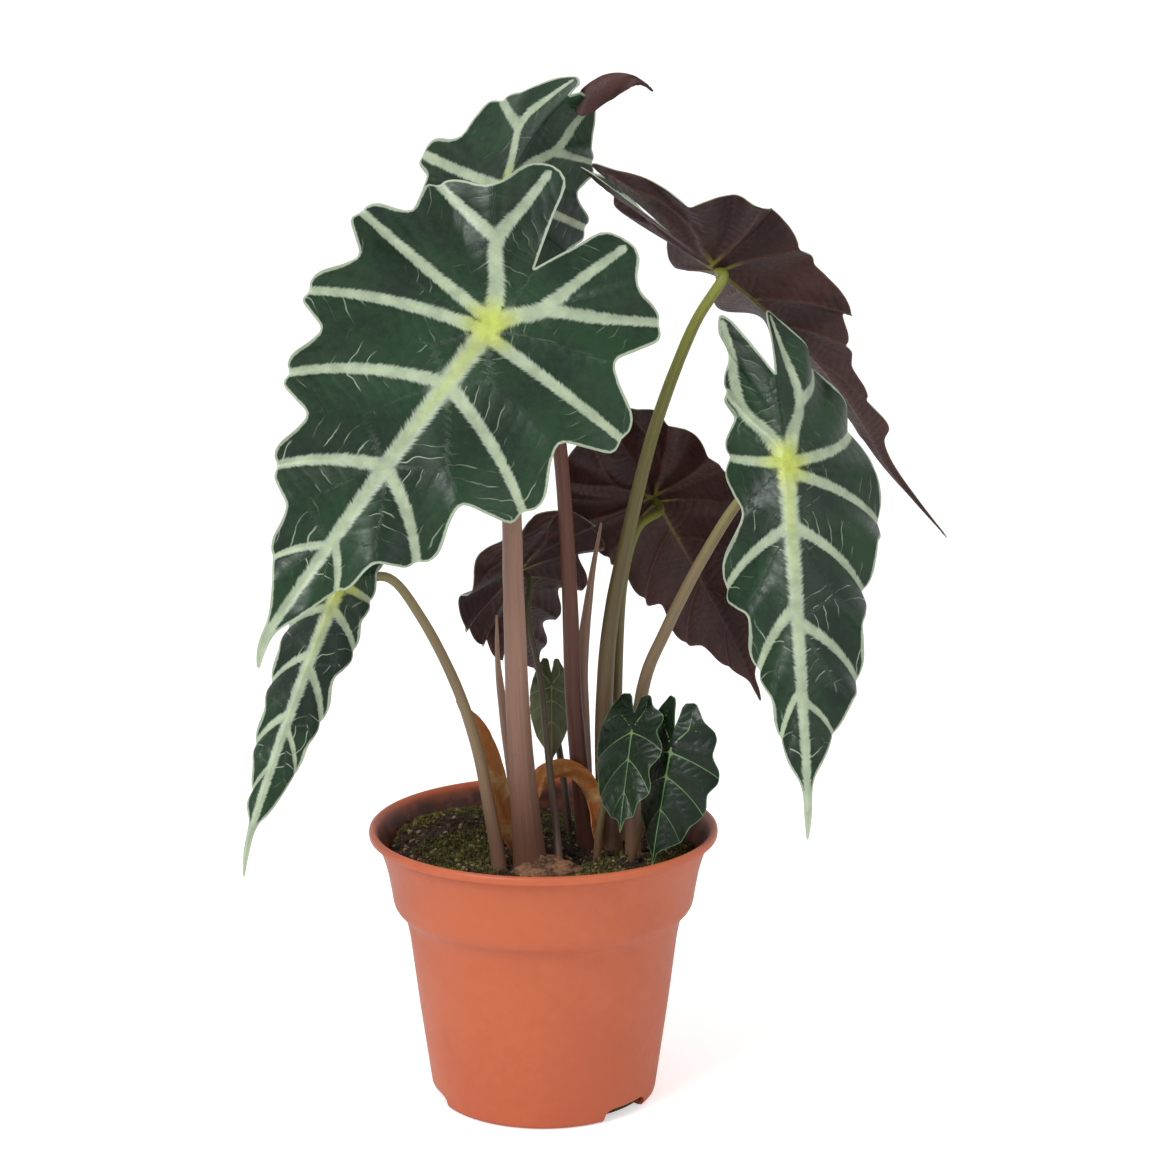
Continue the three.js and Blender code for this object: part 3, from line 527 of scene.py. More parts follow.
# at: where the stalk meets the blade; heading, dip, roll: pose of the midrib there;
# droop, sway, twist: change along it; fold, curl: how far the right and left halves hang;
# drip: tail length, bend, turn; ripple: height of the margin's waves, in millimetres.
# Some blades also have lobe_bend, lobe_sway, lobe_twist: turn of the lobes behind the stalk;
# sinus: where their halves part; ribbon: half width of the tail; scallop: depth of the margin's
# bays; fork: where the lobe ribs branch; vein: width of the veins against a large leaf's.
BLADES = {
    "front_large": dict(
        at=(-16, -45, 272), length=116, heading=208, dip=48, roll=-48, droop=4, sway=-4, twist=-4,
        fold=(-10, 8), curl=(-4, 10), drip=(0.12, 34, 12), ripple=3.6, fork=(-0.2, -0.12),
        right=half((-0.46, 0.13, 0.075), (-0.06, -0.24, 0.35), (-0.01, -0.05, 0.47), (0.02, 0.21, 0.45),
                   (0.2, 0.42, 0.36), (0.48, 0.64, 0.24), (0.74, 0.85, 0.105)),
        left=half((-0.41, 0.16, 0.09), (-0.06, -0.29, 0.36), (0.03, 0.03, 0.47), (0.2, 0.36, 0.37),
                  (0.48, 0.64, 0.215), (0.72, 0.83, 0.085))),
    "top": dict(
        at=(-12, 4, 311), length=108, heading=194, dip=70, roll=-65, droop=4, sway=4, twist=0,
        fold=(57, 62), curl=(-40, -5), drip=(0.14, 20, 0), ripple=2.4, lobe_bend=39, sinus=0.36,
        right=half((-0.42, 0.1, 0.03), (-0.06, -0.25, 0.3), (-0.01, -0.03, 0.46), (0.02, 0.13, 0.39),
                   (0.2, 0.38, 0.3), (0.5, 0.63, 0.2), (0.76, 0.85, 0.1)),
        left=half((-0.41, 0.11, 0.03), (-0.06, -0.3, 0.31), (0.0, 0.01, 0.44), (0.12, 0.26, 0.37),
                  (0.34, 0.5, 0.27), (0.6, 0.75, 0.15))),
    "back_right": dict(
        at=(59, 10, 285), length=116, heading=30, dip=34, roll=-55, droop=5, sway=34, twist=10,
        fold=(24, -55), curl=(2, -25), drip=(0.5, 8, -50), ripple=3.6, ribbon=0.03, lobe_twist=20,
        scallop=0.5,
        right=half((-0.54, 0.07, 0.03), (-0.06, -0.29, 0.18), (-0.03, -0.18, 0.35), (0.0, 0.04, 0.28),
                   (0.15, 0.33, 0.22), (0.3, 0.46, 0.12), (0.5, 0.76, 0.05)),
        left=half((-0.5, 0.07, 0.03), (-0.06, -0.28, 0.2), (0.0, 0.0, 0.22), (0.1, 0.25, 0.24),
                  (0.36, 0.5, 0.13), (0.6, 0.75, 0.06))),
    "right": dict(
        at=(79, -30, 226), length=105, heading=277, dip=66, roll=0, droop=6, sway=0, twist=0,
        fold=(28, 20), curl=(32, 28), drip=(0.16, 12, -22), ripple=3, scallop=0.7, sinus=0.29,
        lobe_sway=25,
        right=half((-0.5, 0.125, 0.1), (-0.06, -0.27, 0.165), (0.0, -0.06, 0.2), (0.2, 0.36, 0.25),
                   (0.45, 0.63, 0.145), (0.7, 0.85, 0.08)),
        left=half((-0.49, 0.06, 0.03), (-0.06, -0.35, 0.29), (0.0, -0.15, 0.38), (0.03, 0.14, 0.43),
                  (0.2, 0.38, 0.31), (0.5, 0.67, 0.25), (0.74, 0.84, 0.12))),
    "back_centre": dict(
        at=(40.5, 50, 200.3), length=92, heading=50, dip=50, roll=-40, droop=8, sway=-10, twist=-4,
        fold=(20, 30), curl=(28, 25), drip=(0.12, 10, 0), ripple=2.5, scallop=0.6, sinus=0.38,
        right=half((-0.5, 0.11, 0.03), (-0.06, -0.43, 0.26), (-0.03, -0.27, 0.37), (0.0, 0.0, 0.39),
                   (0.2, 0.34, 0.34), (0.5, 0.7, 0.19)),
        left=half((-0.48, 0.12, 0.02), (-0.06, -0.42, 0.31), (-0.03, -0.27, 0.38), (0.0, -0.01, 0.32),
                  (0.15, 0.29, 0.27), (0.45, 0.62, 0.2), (0.7, 0.88, 0.07))),
    "back_left": dict(
        at=(-8, 24, 180), length=64, heading=94, dip=50, roll=-34, droop=-12, sway=-20, twist=-8,
        fold=(8, 11), curl=(18, 10), drip=(0.1, 10, 0), ripple=3, scallop=0.7, sinus=0.33,
        right=half((-0.47, 0.16, 0.08), (-0.06, -0.3, 0.4), (-0.01, -0.09, 0.48), (0.05, 0.28, 0.37),
                   (0.3, 0.51, 0.2), (0.6, 0.8, 0.1)),
        left=half((-0.44, 0.14, 0.07), (-0.06, -0.31, 0.47), (-0.01, -0.06, 0.54), (0.05, 0.25, 0.36),
                  (0.3, 0.57, 0.22), (0.65, 0.82, 0.1))),
    "lower_left": dict(
        at=(-65, -42, 189), length=82, heading=230, dip=56, roll=-36, droop=8, sway=0, twist=0,
        fold=(30, 28), curl=(32, 30), drip=(0.2, 20, 10), ripple=1.8, scallop=0.5,
        right=half((-0.4, 0.075, 0.03), (-0.06, -0.2, 0.14), (0.0, 0.0, 0.185), (0.1, 0.21, 0.2),
                   (0.3, 0.44, 0.17), (0.55, 0.69, 0.13), (0.76, 0.87, 0.06)),
        left=half((-0.4, 0.075, 0.03), (-0.06, -0.2, 0.14), (0.0, 0.0, 0.16), (0.1, 0.21, 0.175),
                  (0.35, 0.53, 0.145), (0.6, 0.76, 0.11))),
    "small_left": dict(
        at=(29.8, -17, 133.3), length=33, heading=255, dip=57, roll=13, droop=6, sway=0, twist=0,
        fold=(11, -12), curl=(14, 12), drip=(0.06, 0, 0), ripple=0.8, scallop=0.4, vein=0.35,
        right=half((-0.42, 0.2, 0.08), (-0.06, -0.12, 0.46), (0.02, 0.26, 0.46), (0.3, 0.68, 0.34),
                   (0.65, 0.9, 0.14)),
        left=half((-0.37, 0.14, 0.05), (-0.06, -0.15, 0.34), (0.02, 0.22, 0.37), (0.3, 0.66, 0.28),
                  (0.65, 0.9, 0.12))),
    "small_right": dict(
        at=(42.5, -24, 128.9), length=37, heading=230, dip=74, roll=7, droop=2, sway=0, twist=3,
        fold=(9, 26), curl=(10, 18), drip=(0.08, 0, 0), ripple=0.8, scallop=0.4, vein=0.4,
        right=half((-0.46, 0.16, 0.06), (-0.06, -0.2, 0.38), (0.03, 0.1, 0.39), (0.25, 0.46, 0.37),
                   (0.55, 0.8, 0.2)),
        left=half((-0.43, 0.14, 0.05), (-0.06, -0.2, 0.38), (0.03, 0.19, 0.48), (0.25, 0.54, 0.39),
                  (0.55, 0.82, 0.22))),
    "small_back": dict(
        at=(3, 35, 136), length=27, heading=270, dip=52, roll=-8, droop=8, sway=0, twist=0, fold=(26, 24),
        curl=(26, 26), drip=(0.06, 0, 0), ripple=0.5, scallop=0.3, vein=0.4,
        right=half((-0.42, 0.12, 0.05), (-0.06, -0.2, 0.27), (0.02, 0.05, 0.33), (0.2, 0.35, 0.32),
                   (0.5, 0.68, 0.22)),
        left=half((-0.42, 0.12, 0.05), (-0.06, -0.2, 0.27), (0.02, 0.05, 0.33), (0.2, 0.35, 0.32),
                  (0.5, 0.68, 0.22))),
}
SIDES = ("right", "left")


def midrib_frames(blade):
    """Points and axes along the midrib, as functions of the distance in midrib lengths."""
    g = np.linspace(-0.75, 1.6, 941)
    tail, bend, turn = blade["drip"]
    end = np.clip((g - 1) / tail, 0, 1)
    behind = -np.minimum(g, 0) / 0.46
    dip = np.radians(blade["dip"] - blade.get("lobe_bend", 0) * behind
                     + blade["droop"] * np.clip(g, 0, 1) + bend * end)
    heading = np.radians(blade["heading"] + blade["sway"] * np.clip(g, 0, 1) + turn * end
                         + blade.get("lobe_sway", 0) * behind)
    along = np.stack([np.cos(dip) * np.cos(heading), np.cos(dip) * np.sin(heading), -np.sin(dip)], 1)
    step = (g[1] - g[0]) * blade["length"]
    point = np.vstack([np.zeros(3), np.cumsum((along[1:] + along[:-1]) / 2 * step, axis=0)])
    zero = np.array([np.interp(0, g, point[:, k]) for k in range(3)])
    point += np.array(blade["at"], float) - zero
    level = np.stack([np.sin(heading), -np.cos(heading), 0 * heading], 1)
    up = np.cross(level, along)
    roll = np.radians(blade["roll"] + blade["twist"] * g + blade.get("lobe_twist", 0) * behind)[:, None]
    across = np.cos(roll) * level - np.sin(roll) * up
    normal = np.sin(roll) * level + np.cos(roll) * up

    def at(values, table):
        return np.stack([np.interp(values, g, table[:, k]) for k in range(3)], -1)

    return lambda s: (at(s, point), at(s, across), at(s, normal))


def half_outline(blade, which):
    """Flat outline of one half: the margin's points and vein phase, and where the ray of each
    phase leaves the midrib."""
    plan = blade[SIDES[which]]
    (ls, lt, inner), veins = plan["lobe"], plan["veins"]
    n = len(veins) + 1
    tail = blade["drip"][0]
    strength = blade.get("scallop", 1.0)
    sinus = blade.get("sinus", SINUS)
    pts = [(-sinus, 0, -0.5), (-sinus + 0.575 * (ls + sinus), 0.6 * inner, -0.25), (ls + 0.01, inner, -0.12),
           (ls - 0.012, lt + 0.005, 0)]
    peaks = [(ls, lt)] + [v[1:] for v in veins]
    for i, (p, q) in enumerate(zip(peaks, peaks[1:])):
        for f, out in SHOULDER if i == 0 else SCALLOPS:
            out *= strength if i + 2 < len(peaks) else 0.5 * strength
            pts.append((p[0] + f * (q[0] - p[0]) - out * (q[1] - p[1]),
                        p[1] + f * (q[1] - p[1]) + out * (q[0] - p[0]), i + f))
        pts.append((*q, i + 1))
    ribbon = blade.get("ribbon", 0.02)
    pts += [(0.93, 0.032 + ribbon, n - 0.5), (1.0, ribbon, n), (1 + 0.55 * tail, 0.6 * ribbon, n + 0.3),
            (1 + tail, 0.004, n + 0.5)]
    pts = np.array(pts)
    steps = np.linspace(0, len(pts) - 1, 900)
    fine = smooth_path(np.column_stack([pts[:, :2], 0 * pts[:, 0]]), 900)
    fine[:, 1] = np.maximum(fine[:, 1], 0)
    phase = np.interp(steps, np.arange(len(pts)), pts[:, 2])
    keys = [-0.5, -0.25, 0] + list(range(1, n)) + [n, n + 0.5]
    starts = [-sinus, -0.82 * sinus, -0.6 * sinus] + [v[0] for v in veins] + [0.985, 1 + tail]
    return fine[:, :2], phase, np.array(keys, float), np.array(starts, float)


def vein_lines(blade):
    """All main veins as flat polylines with a half width at each end, in millimetres."""
    length = blade["length"]
    lines = [(np.array([[s, 0] for s in np.linspace(-0.01, 1 + blade["drip"][0], 24)]), 0.033, 0.010)]
    for which, sign in ((0, 1), (1, -1)):
        plan = blade[SIDES[which]]
        (ls, lt, _), veins = plan["lobe"], plan["veins"]
        split = blade.get("fork", (-0.2, -0.2))[which]
        fork = np.array([split, (0.62 * lt + 0.045) * split / -0.2])
        half_way = 0.45 * fork + 0.55 * np.array([ls, lt])
        rib = smooth_path([(0, 0, 0), (0.5 * fork[0], 0.42 * fork[1], 0), (*fork, 0), (*half_way, 0),
                           (ls * 0.97, lt, 0)], 16)[:, :2]
        _, s, t = veins[0]
        elbow = (0.55 * fork[0] + 0.45 * s, 0.5 * (fork[1] + t), 0)
        arm = smooth_path([(*fork, 0), elbow, (s, t, 0)], 10)[:, :2]
        rays = [(rib, 0.028, 0.012), (arm, 0.019, 0.013)]
        for start, s, t in veins[1:]:
            j = np.linspace(0, 1, 14)[:, None]
            bow = np.array([start + 0.35 * (s - start), 0.6 * t])
            ray = (1 - j) ** 2 * np.array([start, 0]) + 2 * j * (1 - j) * bow + j * j * np.array([s, t])
            wide = 0.021 if s < 0.7 else 0.013
            rays.append((ray, wide, wide * 0.62))
        lines += [(ray * [1, sign], w0, w1) for ray, w0, w1 in rays]
    scale = blade.get("vein", 1.0) * length
    return [(line * length, w0 * scale, w1 * scale) for line, w0, w1 in lines]


def vein_fields(points, lines):
    """For flat points: nearness to the closest vein in vein widths, and a coordinate whose
    even steps give the cross veins."""
    near = np.full(len(points), 1e9)
    dist = np.full(len(points), 1e9)
    arc = np.zeros(len(points))
    shift = 0.0
    for line, w0, w1 in lines:
        a, b = line[:-1], line[1:]
        d = b - a
        size = np.hypot(d[:, 0], d[:, 1])
        run = np.concatenate([[0], np.cumsum(size)])
        rel = points[:, None, :] - a[None]
        u = np.clip((rel * d).sum(-1) / np.maximum(size ** 2, 1e-9), 0, 1)
        gap = np.hypot(*np.moveaxis(rel - u[..., None] * d, -1, 0))
        reach = (run[:-1] + u * size) / run[-1]
        ratio = gap / (w0 + (w1 - w0) * reach)
        k = np.argmin(gap, axis=1)
        rows = np.arange(len(points))
        better = gap[rows, k] < dist
        dist = np.where(better, gap[rows, k], dist)
        arc = np.where(better, reach[rows, k] * run[-1] + 0.75 * gap[rows, k] + shift, arc)
        near = np.minimum(near, ratio.min(axis=1))
        shift += 37.3
    return near, arc


def line_gap(points, line):
    """Distance of flat points from a polyline."""
    a, d = line[:-1], line[1:] - line[:-1]
    rel = points[:, None, :] - a[None]
    u = np.clip((rel * d).sum(-1) / np.maximum((d ** 2).sum(-1), 1e-12), 0, 1)
    return np.hypot(*np.moveaxis(rel - u[..., None] * d, -1, 0)).min(axis=1)


def blade_mesh(name, blade, upper, lower, columns, step, thick):
    """One closed blade: columns of points from midrib to margin, rows by vein phase step, and its
    thickness in millimetres."""
    halves = [half_outline(blade, 0), half_outline(blade, 1)]
    length = blade["length"]
    stations = []
    for _, _, keys, starts in halves:
        stations.append(np.interp(np.arange(-0.5, keys[-1] + 1e-6, step), keys, starts))
        stations.append(starts)
    stations = np.unique(np.round(np.concatenate(stations), 5))
    spaced = [stations[0]]
    for s in stations[1:]:
        if s - spaced[-1] > 0.0011:
            spaced.append(s)
    spaced = np.array(spaced)[1:-1]
    frames = midrib_frames(blade)
    j = np.linspace(0, 1, columns + 1) ** 0.92
    sheets = []
    for which, sign in ((0, 1), (1, -1)):
        outline, phases, keys, starts = halves[which]
        phase = np.interp(spaced, starts, keys)
        edge = np.stack([np.interp(phase, phases, outline[:, k]) for k in (0, 1)], -1)
        s0 = spaced[:, None]
        bow_s = s0 + 0.35 * (edge[:, :1] - s0)
        bow_t = 0.6 * edge[:, 1:]
        s = (1 - j) ** 2 * s0 + 2 * j * (1 - j) * bow_s + j ** 2 * edge[:, :1]
        t = 2 * j * (1 - j) * bow_t + j ** 2 * edge[:, 1:]
        point, across, normal = frames(s)
        fold = math.radians(blade["fold"][which])
        bend = math.radians(blade["curl"][which]) / (0.47 * length) or 1e-6
        out = t * length
        lean = fold + bend * out
        a = (np.sin(lean) - math.sin(fold)) / bend
        d = -(np.cos(lean) - math.cos(fold)) / bend
        rim = np.maximum(edge[:, 1:], 1e-3)
        wave = blade["ripple"] * np.cos(2 * np.pi * phase)[:, None]
        wave = wave * (t / rim) ** 2 * np.clip(rim / 0.2, 0, 1)
        place = (point + across * (sign * (a - wave * np.sin(lean)))[..., None]
                 + normal * (-d - wave * np.cos(lean))[..., None])
        sheets.append((place, np.stack([s * length, sign * t * length], -1)))
    grid = np.concatenate([sheets[1][0][:, :0:-1], sheets[0][0]], axis=1)
    flat = np.concatenate([sheets[1][1][:, :0:-1], sheets[0][1]], axis=1)
    rows, cols = grid.shape[:2]
    sinus = blade.get("sinus", SINUS)
    first, _, first_n = frames(np.array([-sinus]))
    last, _, last_n = frames(np.array([1 + blade["drip"][0]]))
    down = np.gradient(grid, axis=0)
    side = np.gradient(grid, axis=1)
    normals = np.cross(side, down)
    normals /= np.maximum(np.linalg.norm(normals, axis=-1, keepdims=True), 1e-9)
    mid = np.vstack([first, grid.reshape(-1, 3), last])
    norm = np.vstack([first_n, normals.reshape(-1, 3), last_n])
    plan = np.vstack([[-sinus * length, 0], flat.reshape(-1, 2), [(1 + blade["drip"][0]) * length, 0]])
    veins = vein_lines(blade)
    near, arc = vein_fields(plan, veins)
    rib = vein_fields(plan, veins[:1])[0]
    edge = np.full(len(plan), 1e9)
    for half, sign in zip(halves, (1, -1)):
        edge = np.minimum(edge, line_gap(plan, half[0][::5] * length * [1, sign]))
    hub = np.hypot(plan[:, 0], plan[:, 1])
    body = thick * np.clip(edge / 3 + 0.45, 0.45, 1)
    scale = length / 110
    channel = 0.35 * scale * np.exp(-near ** 2 * 1.2)
    fade = np.clip(edge / 8, 0, 1) * np.clip(1.2 - hub / length * 0.7, 0.25, 1)
    ridge = 0.9 * scale * np.exp(-(near / 0.5) ** 2) * fade
    puff = 0.25 * scale * np.clip(near / 4, 0, 1) * np.clip(edge / 6, 0, 1)
    above = mid + norm * (body / 2 - channel + puff)[:, None]
    below = mid - norm * (body / 2 + ridge - puff)[:, None]
    count = len(mid)
    index, top = sheet_faces(rows, cols, 1)
    top += np.stack([np.zeros(cols - 1, int), index[0, 1:], index[0, :-1]], -1).tolist()
    top += np.stack([index[-1, :-1], index[-1, 1:], np.full(cols - 1, count - 1)], -1).tolist()
    loop = np.concatenate([[0], index[:, -1], [count - 1], index[::-1, 0]])
    fields = dict(vein=near, arc=arc, edge=edge, hub=hub, rib=rib, along=plan[:, 0] / length)
    return thin_body(name, above, below, top, loop, [upper, lower], fields, plan * 0.01)


# ------------------------------------------------------------------ stalks
def stalk_tree():
    """Geometry Nodes: a tapering, lightly grooved rod along a path."""
    tree, n, given, out = node_group(
        "stalk along path", "GeometryNodeTree",
        [("Path", "Geometry"),
         *numbers(Foot_Radius=0.003, Top_Radius=0.002, Taper=0.8, Flare=0.2, Groove_Depth=0.0001,
                  Groove_Count=9.0, Unevenness=0.0003),
         ("Skin", "Material")],
        [("Stalk", "Geometry")])

    def kept(name, curve):
        """The curve, and the share of the way along it kept as a value for later."""
        node = n.add("GeometryNodeCaptureAttribute", domain="POINT")
        node.capture_items.new("FLOAT", name)
        n.put(node.inputs["Geometry"], curve)
        n.put(node.inputs[name], n.add("GeometryNodeSplineParameter").outputs["Factor"])
        return node.outputs["Geometry"], node.outputs[name]

    curve = n.fed("GeometryNodeMeshToCurve", {"Mesh": given["Path"]}).outputs["Curve"]
    spot = n.add("GeometryNodeSplineParameter").outputs["Factor"]
    curve, along = kept("along", curve)
    taper = n.times(n.math("POWER", spot, given["Taper"]), n.minus(given["Top Radius"], given["Foot Radius"]))
    flare = n.times(n.math("POWER", n.minus(1.0, spot), 7.0), given["Flare"])
    radius = n.times(n.plus(given["Foot Radius"], taper), n.plus(1.0, flare))
    ring = n.fed("GeometryNodeCurvePrimitiveCircle", {"Resolution": 28, "Radius": 1.0}).outputs["Curve"]
    ring, around = kept("around", ring)
    body = n.fed("GeometryNodeCurveToMesh",
                 {"Curve": curve, "Scale": radius, "Profile Curve": ring, "Fill Caps": True})
    groove = n.math("SINE", n.times(around, n.times(given["Groove Count"], 2 * math.pi)))
    groove = n.times(groove, given["Groove Depth"])
    place = n.add("GeometryNodeInputPosition").outputs[0]
    uneven = n.times(n.minus(n.noise(place, 90.0, 2.0), 0.5), given["Unevenness"])
    push = n.fed("ShaderNodeVectorMath", {0: n.add("GeometryNodeInputNormal").outputs[0],
                                          "Scale": n.plus(groove, uneven)}, operation="SCALE")
    last = n.fed("GeometryNodeSetPosition",
                 {"Geometry": body.outputs["Mesh"], "Offset": push.outputs[0]}).outputs["Geometry"]
    for label, value in (("along", along), ("around", around)):
        last = n.fed("GeometryNodeStoreNamedAttribute", {"Geometry": last, "Name": label, "Value": value},
                     data_type="FLOAT", domain="POINT").outputs["Geometry"]
    last = n.fed("GeometryNodeSetShadeSmooth", {"Geometry": last}).outputs["Geometry"]
    n.finish(out["Stalk"], last, given["Skin"])
    return tree


def grow(piece, tree, **values):
    """Runs a geometry tree on a piece with the named inputs and keeps the result as a mesh."""
    modifier = piece.modifiers.new("grow", "NODES")
    modifier.node_group = tree
    idents = {s.name: s.identifier for s in tree.interface.items_tree
              if s.item_type == "SOCKET" and s.in_out == "INPUT"}
    for label, value in values.items():
        modifier[idents[label.replace("_", " ")]] = value
    apply_modifiers(piece)


def path_object(name, points, count):
    mesh = bpy.data.meshes.new(name)
    fine = smooth_path(points, count) * MM
    mesh.from_pydata(fine.tolist(), [(i, i + 1) for i in range(count - 1)], [])
    return add_piece(name, mesh)


STALKS = {
    "front_large": dict(foot=5.0, top=2.5, flare=0.3, skin="rosy",
                        path=[(-4, -14, 78), (-5, -16, 92), (-8, -24, 135), (-9.5, -31, 185),
                              (-10, -34, 215), (-11.5, -36, 245)]),
    "top": dict(foot=3.4, top=2.0, skin="russet",
                path=[(16, 10.5, 78), (13.5, 11.5, 104), (10.5, 10, 138), (9, 7, 180), (6, 5, 225),
                      (-1, 7, 272)]),
    "back_right": dict(foot=3.7, top=1.7, skin="olive",
                       path=[(24.5, 3.5, 78), (22, 6.5, 101), (21, 9.5, 130), (23, 10, 163),
                             (29, 10, 195), (38, 9, 232), (50, 7, 265)]),
    "right": dict(foot=2.7, top=1.7, skin="straw",
                  path=[(31, -2, 78), (31, 1, 104), (34, 3, 142), (42, -1, 165), (54, -10, 192),
                        (66, -18, 213)]),
    "back_centre": dict(foot=2.6, top=1.5, skin="olive",
                        path=[(27, 14, 78), (25.5, 18, 110), (26, 23, 145), (28, 28, 175), (33, 32, 193)]),
    "back_left": dict(foot=1.5, top=0.9, skin="dusky",
                      path=[(5.5, -14.5, 78), (5, -13, 90), (2, 1, 117), (-1, 10, 145), (-5, 15, 165)]),
    "lower_left": dict(foot=2.5, top=1.4, skin="straw",
                       path=[(-14.5, -17, 78), (-15.5, -17, 90), (-18, -18, 106), (-22, -20, 128),
                             (-29, -22, 151), (-40, -24, 174), (-51, -26, 188)]),
    "small_left": dict(foot=1.4, top=1.1, skin="olive",
                       path=[(18, -7, 79), (19, -7, 95), (22, -6.5, 112), (26, -7.5, 126)]),
    "small_right": dict(foot=1.4, top=1.1, skin="olive",
                        path=[(28, -11, 79), (32, -14, 95), (37, -16, 110), (41, -19, 122)]),
    "small_back": dict(foot=1.5, top=1.1, skin="dusky",
                       path=[(9, 19, 79), (8, 24, 98), (5, 32, 118), (3, 37, 130)]),
}

SHEATHS = {
    "sheath_tall": dict(foot=3.1,
                        path=[(15, 19, 78), (14, 18.5, 112), (13.5, 17, 148), (16.5, 13.5, 178),
                              (20, 12, 199)]),
    "sheath_front": dict(foot=2.4,
                         path=[(-6, -3, 78), (-9, -3, 104), (-12.5, -3, 130), (-15, -5, 152),
                               (-15.5, -7, 171)]),
}


def grow_stalk(name, path, count, tree, foot, top, groove, uneven, skin, **values):
    """One stalk or sheath; groove and uneven are shares of the foot radius."""
    piece = path_object(name, path, count)
    grow(piece, tree, Foot_Radius=foot * MM, Top_Radius=top * MM, Groove_Depth=groove * foot * MM,
         Unevenness=uneven * foot * MM, Skin=STALK_SKINS[skin], **values)
    return piece


def make_stalks():
    tree = stalk_tree()
    for name, stalk in STALKS.items():
        blade = BLADES[name]
        foot, top = stalk["foot"], stalk["top"]
        point, _, normal = (v[0] for v in midrib_frames(blade)(np.array([0.0])))
        under = 0.35 + 0.6 * top * math.tan(math.radians(max(0, *blade["fold"])))
        path = stalk["path"] + [tuple(point - (under + 5.5) * normal), tuple(point - under * normal)]
        piece = grow_stalk(f"stalk_{name}", path, 90, tree, foot, top, 0.012, 0.08, stalk["skin"],
                           Taper=0.75, Flare=stalk.get("flare", 0.15), Groove_Count=6.0)
        keep(piece, "stalk", f"petiole_{name}")
    for name, sheath in SHEATHS.items():
        piece = grow_stalk(f"{name}_skin", sheath["path"], 70, tree, sheath["foot"], 0.25, 0.05, 0.15, "rosy",
                           Taper=2.0, Flare=0.1, Groove_Count=5.0)
        keep(piece, "sheath", name)


def make_blades():
    uppers = {"small_left": LEAF_TOP_SMALL, "small_right": LEAF_TOP_SMALL, "small_back": LEAF_TOP_OLD}
    under_front = ("back_right", "back_centre", "back_left")
    for name, blade in BLADES.items():
        small = name.startswith("small")
        columns, step, thick = (14, 0.08, 0.5) if small else (24, 0.045, 0.7)
        piece = blade_mesh(f"leaf_{name}", blade, uppers.get(name, LEAF_TOP), LEAF_UNDER, columns, step, thick)
        keep(piece, "leaf_underside" if name in under_front else "leaf", f"blade_{name}")


# ------------------------------------------------------------------ pot
POT_PROFILE = [(0, 0), (36.6, 0), (38.0, 0.4), (38.8, 1.3), (39.1, 2.4), (43.2, 32.0), (46.2, 56.5),
               (46.7, 59.4), (47.1, 61.4), (47.5, 63.1), (48.1, 64.6), (48.9, 65.9), (49.9, 67.0),
               (50.9, 68.1), (51.6, 69.3), (52.0, 70.8), (52.6, 74.8), (53.6, 80.5), (54.6, 84.5),
               (56.0, 88.8), (56.8, 91.2), (57.2, 92.1), (58.0, 92.5), (59.3, 92.8), (59.9, 93.4),
               (60.0, 94.5), (59.8, 95.4), (59.3, 95.9), (58.6, 96.0), (58.0, 95.6), (57.0, 94.2),
               (55.4, 90.4), (53.7, 85.6), (52.5, 82.0), (50.4, 69.0), (49.9, 68.0), (47.9, 65.5),
               (46.0, 62.0), (45.5, 60.0), (38.0, 2.6), (37.4, 1.8), (0, 1.8)]
DRAINS = dict(count=3, width=20.0, height=4.6, start=0.8875)


# Half of the arch over a drain, from its spring to its flat crown: shares of half width and height.
ARCH = [(1, 0.45), (0.96, 0.72), (0.84, 0.92), (0.64, 1.0)]
DRAIN_REACH = (46, 32.5)    # the cut runs between these distances from the axis


def drain_cutters():
    half, height = DRAINS["width"] / 2, DRAINS["height"]
    arch = [(-half, -1.0)] + [(-half * x, height * z) for x, z in ARCH]
    arch += [(-x, z) for x, z in reversed(arch)]
    points, faces = [], []
    m = len(arch)
    for k in range(DRAINS["count"]):
        turn = 2 * math.pi * (k + DRAINS["start"]) / DRAINS["count"] + math.pi / 2
        out = np.array([math.cos(turn), math.sin(turn), 0])
        side = np.array([-math.sin(turn), math.cos(turn), 0])
        s = len(points)
        points += [out * reach + side * x + np.array([0, 0, z]) for reach in DRAIN_REACH for x, z in arch]
        faces += [tuple(range(s + m - 1, s - 1, -1)), tuple(range(s + m, s + 2 * m))]
        faces += [(s + i, s + (i + 1) % m, s + m + (i + 1) % m, s + m + i) for i in range(m)]
    return finish_mesh("drain_cutter", points, faces, [])


def make_pot():
    around = 192
    angle = 2 * np.pi * np.arange(around) / around
    rings = [(r, z) for r, z in POT_PROFILE if r > 0]
    points = [(r * math.cos(a), r * math.sin(a), z) for r, z in rings for a in angle]
    faces = [face[::-1] for face in turned_faces(around, len(rings))]
    pot = finish_mesh("nursery_pot", [(0, 0, 0), *points, (0, 0, POT_PROFILE[-1][1])], faces, [POT])
    tool = drain_cutters()
    cut = pot.modifiers.new("drains", "BOOLEAN")
    cut.operation = "DIFFERENCE"
    cut.solver = "EXACT"
    cut.object = tool
    apply_modifiers(pot)
    bpy.data.objects.remove(tool)
    pot.data.set_sharp_from_angle(angle=math.radians(38))
    keep(pot, "pot_plastic", "pot")


# ------------------------------------------------------------------ soil
def soil_level(x, y):
    return (84.5 + 7.5 * np.exp(-((x + 25) ** 2 + (y - 20) ** 2) / 700)
            + 2.5 * np.exp(-((x - 24) ** 2 + (y + 22) ** 2) / 300)
            + 0.5 * np.sin(x * 0.31 + 1) * np.sin(y * 0.27)
            - 5.5 * np.exp(-((x - 9) ** 2 + (y + 4) ** 2) / 60))


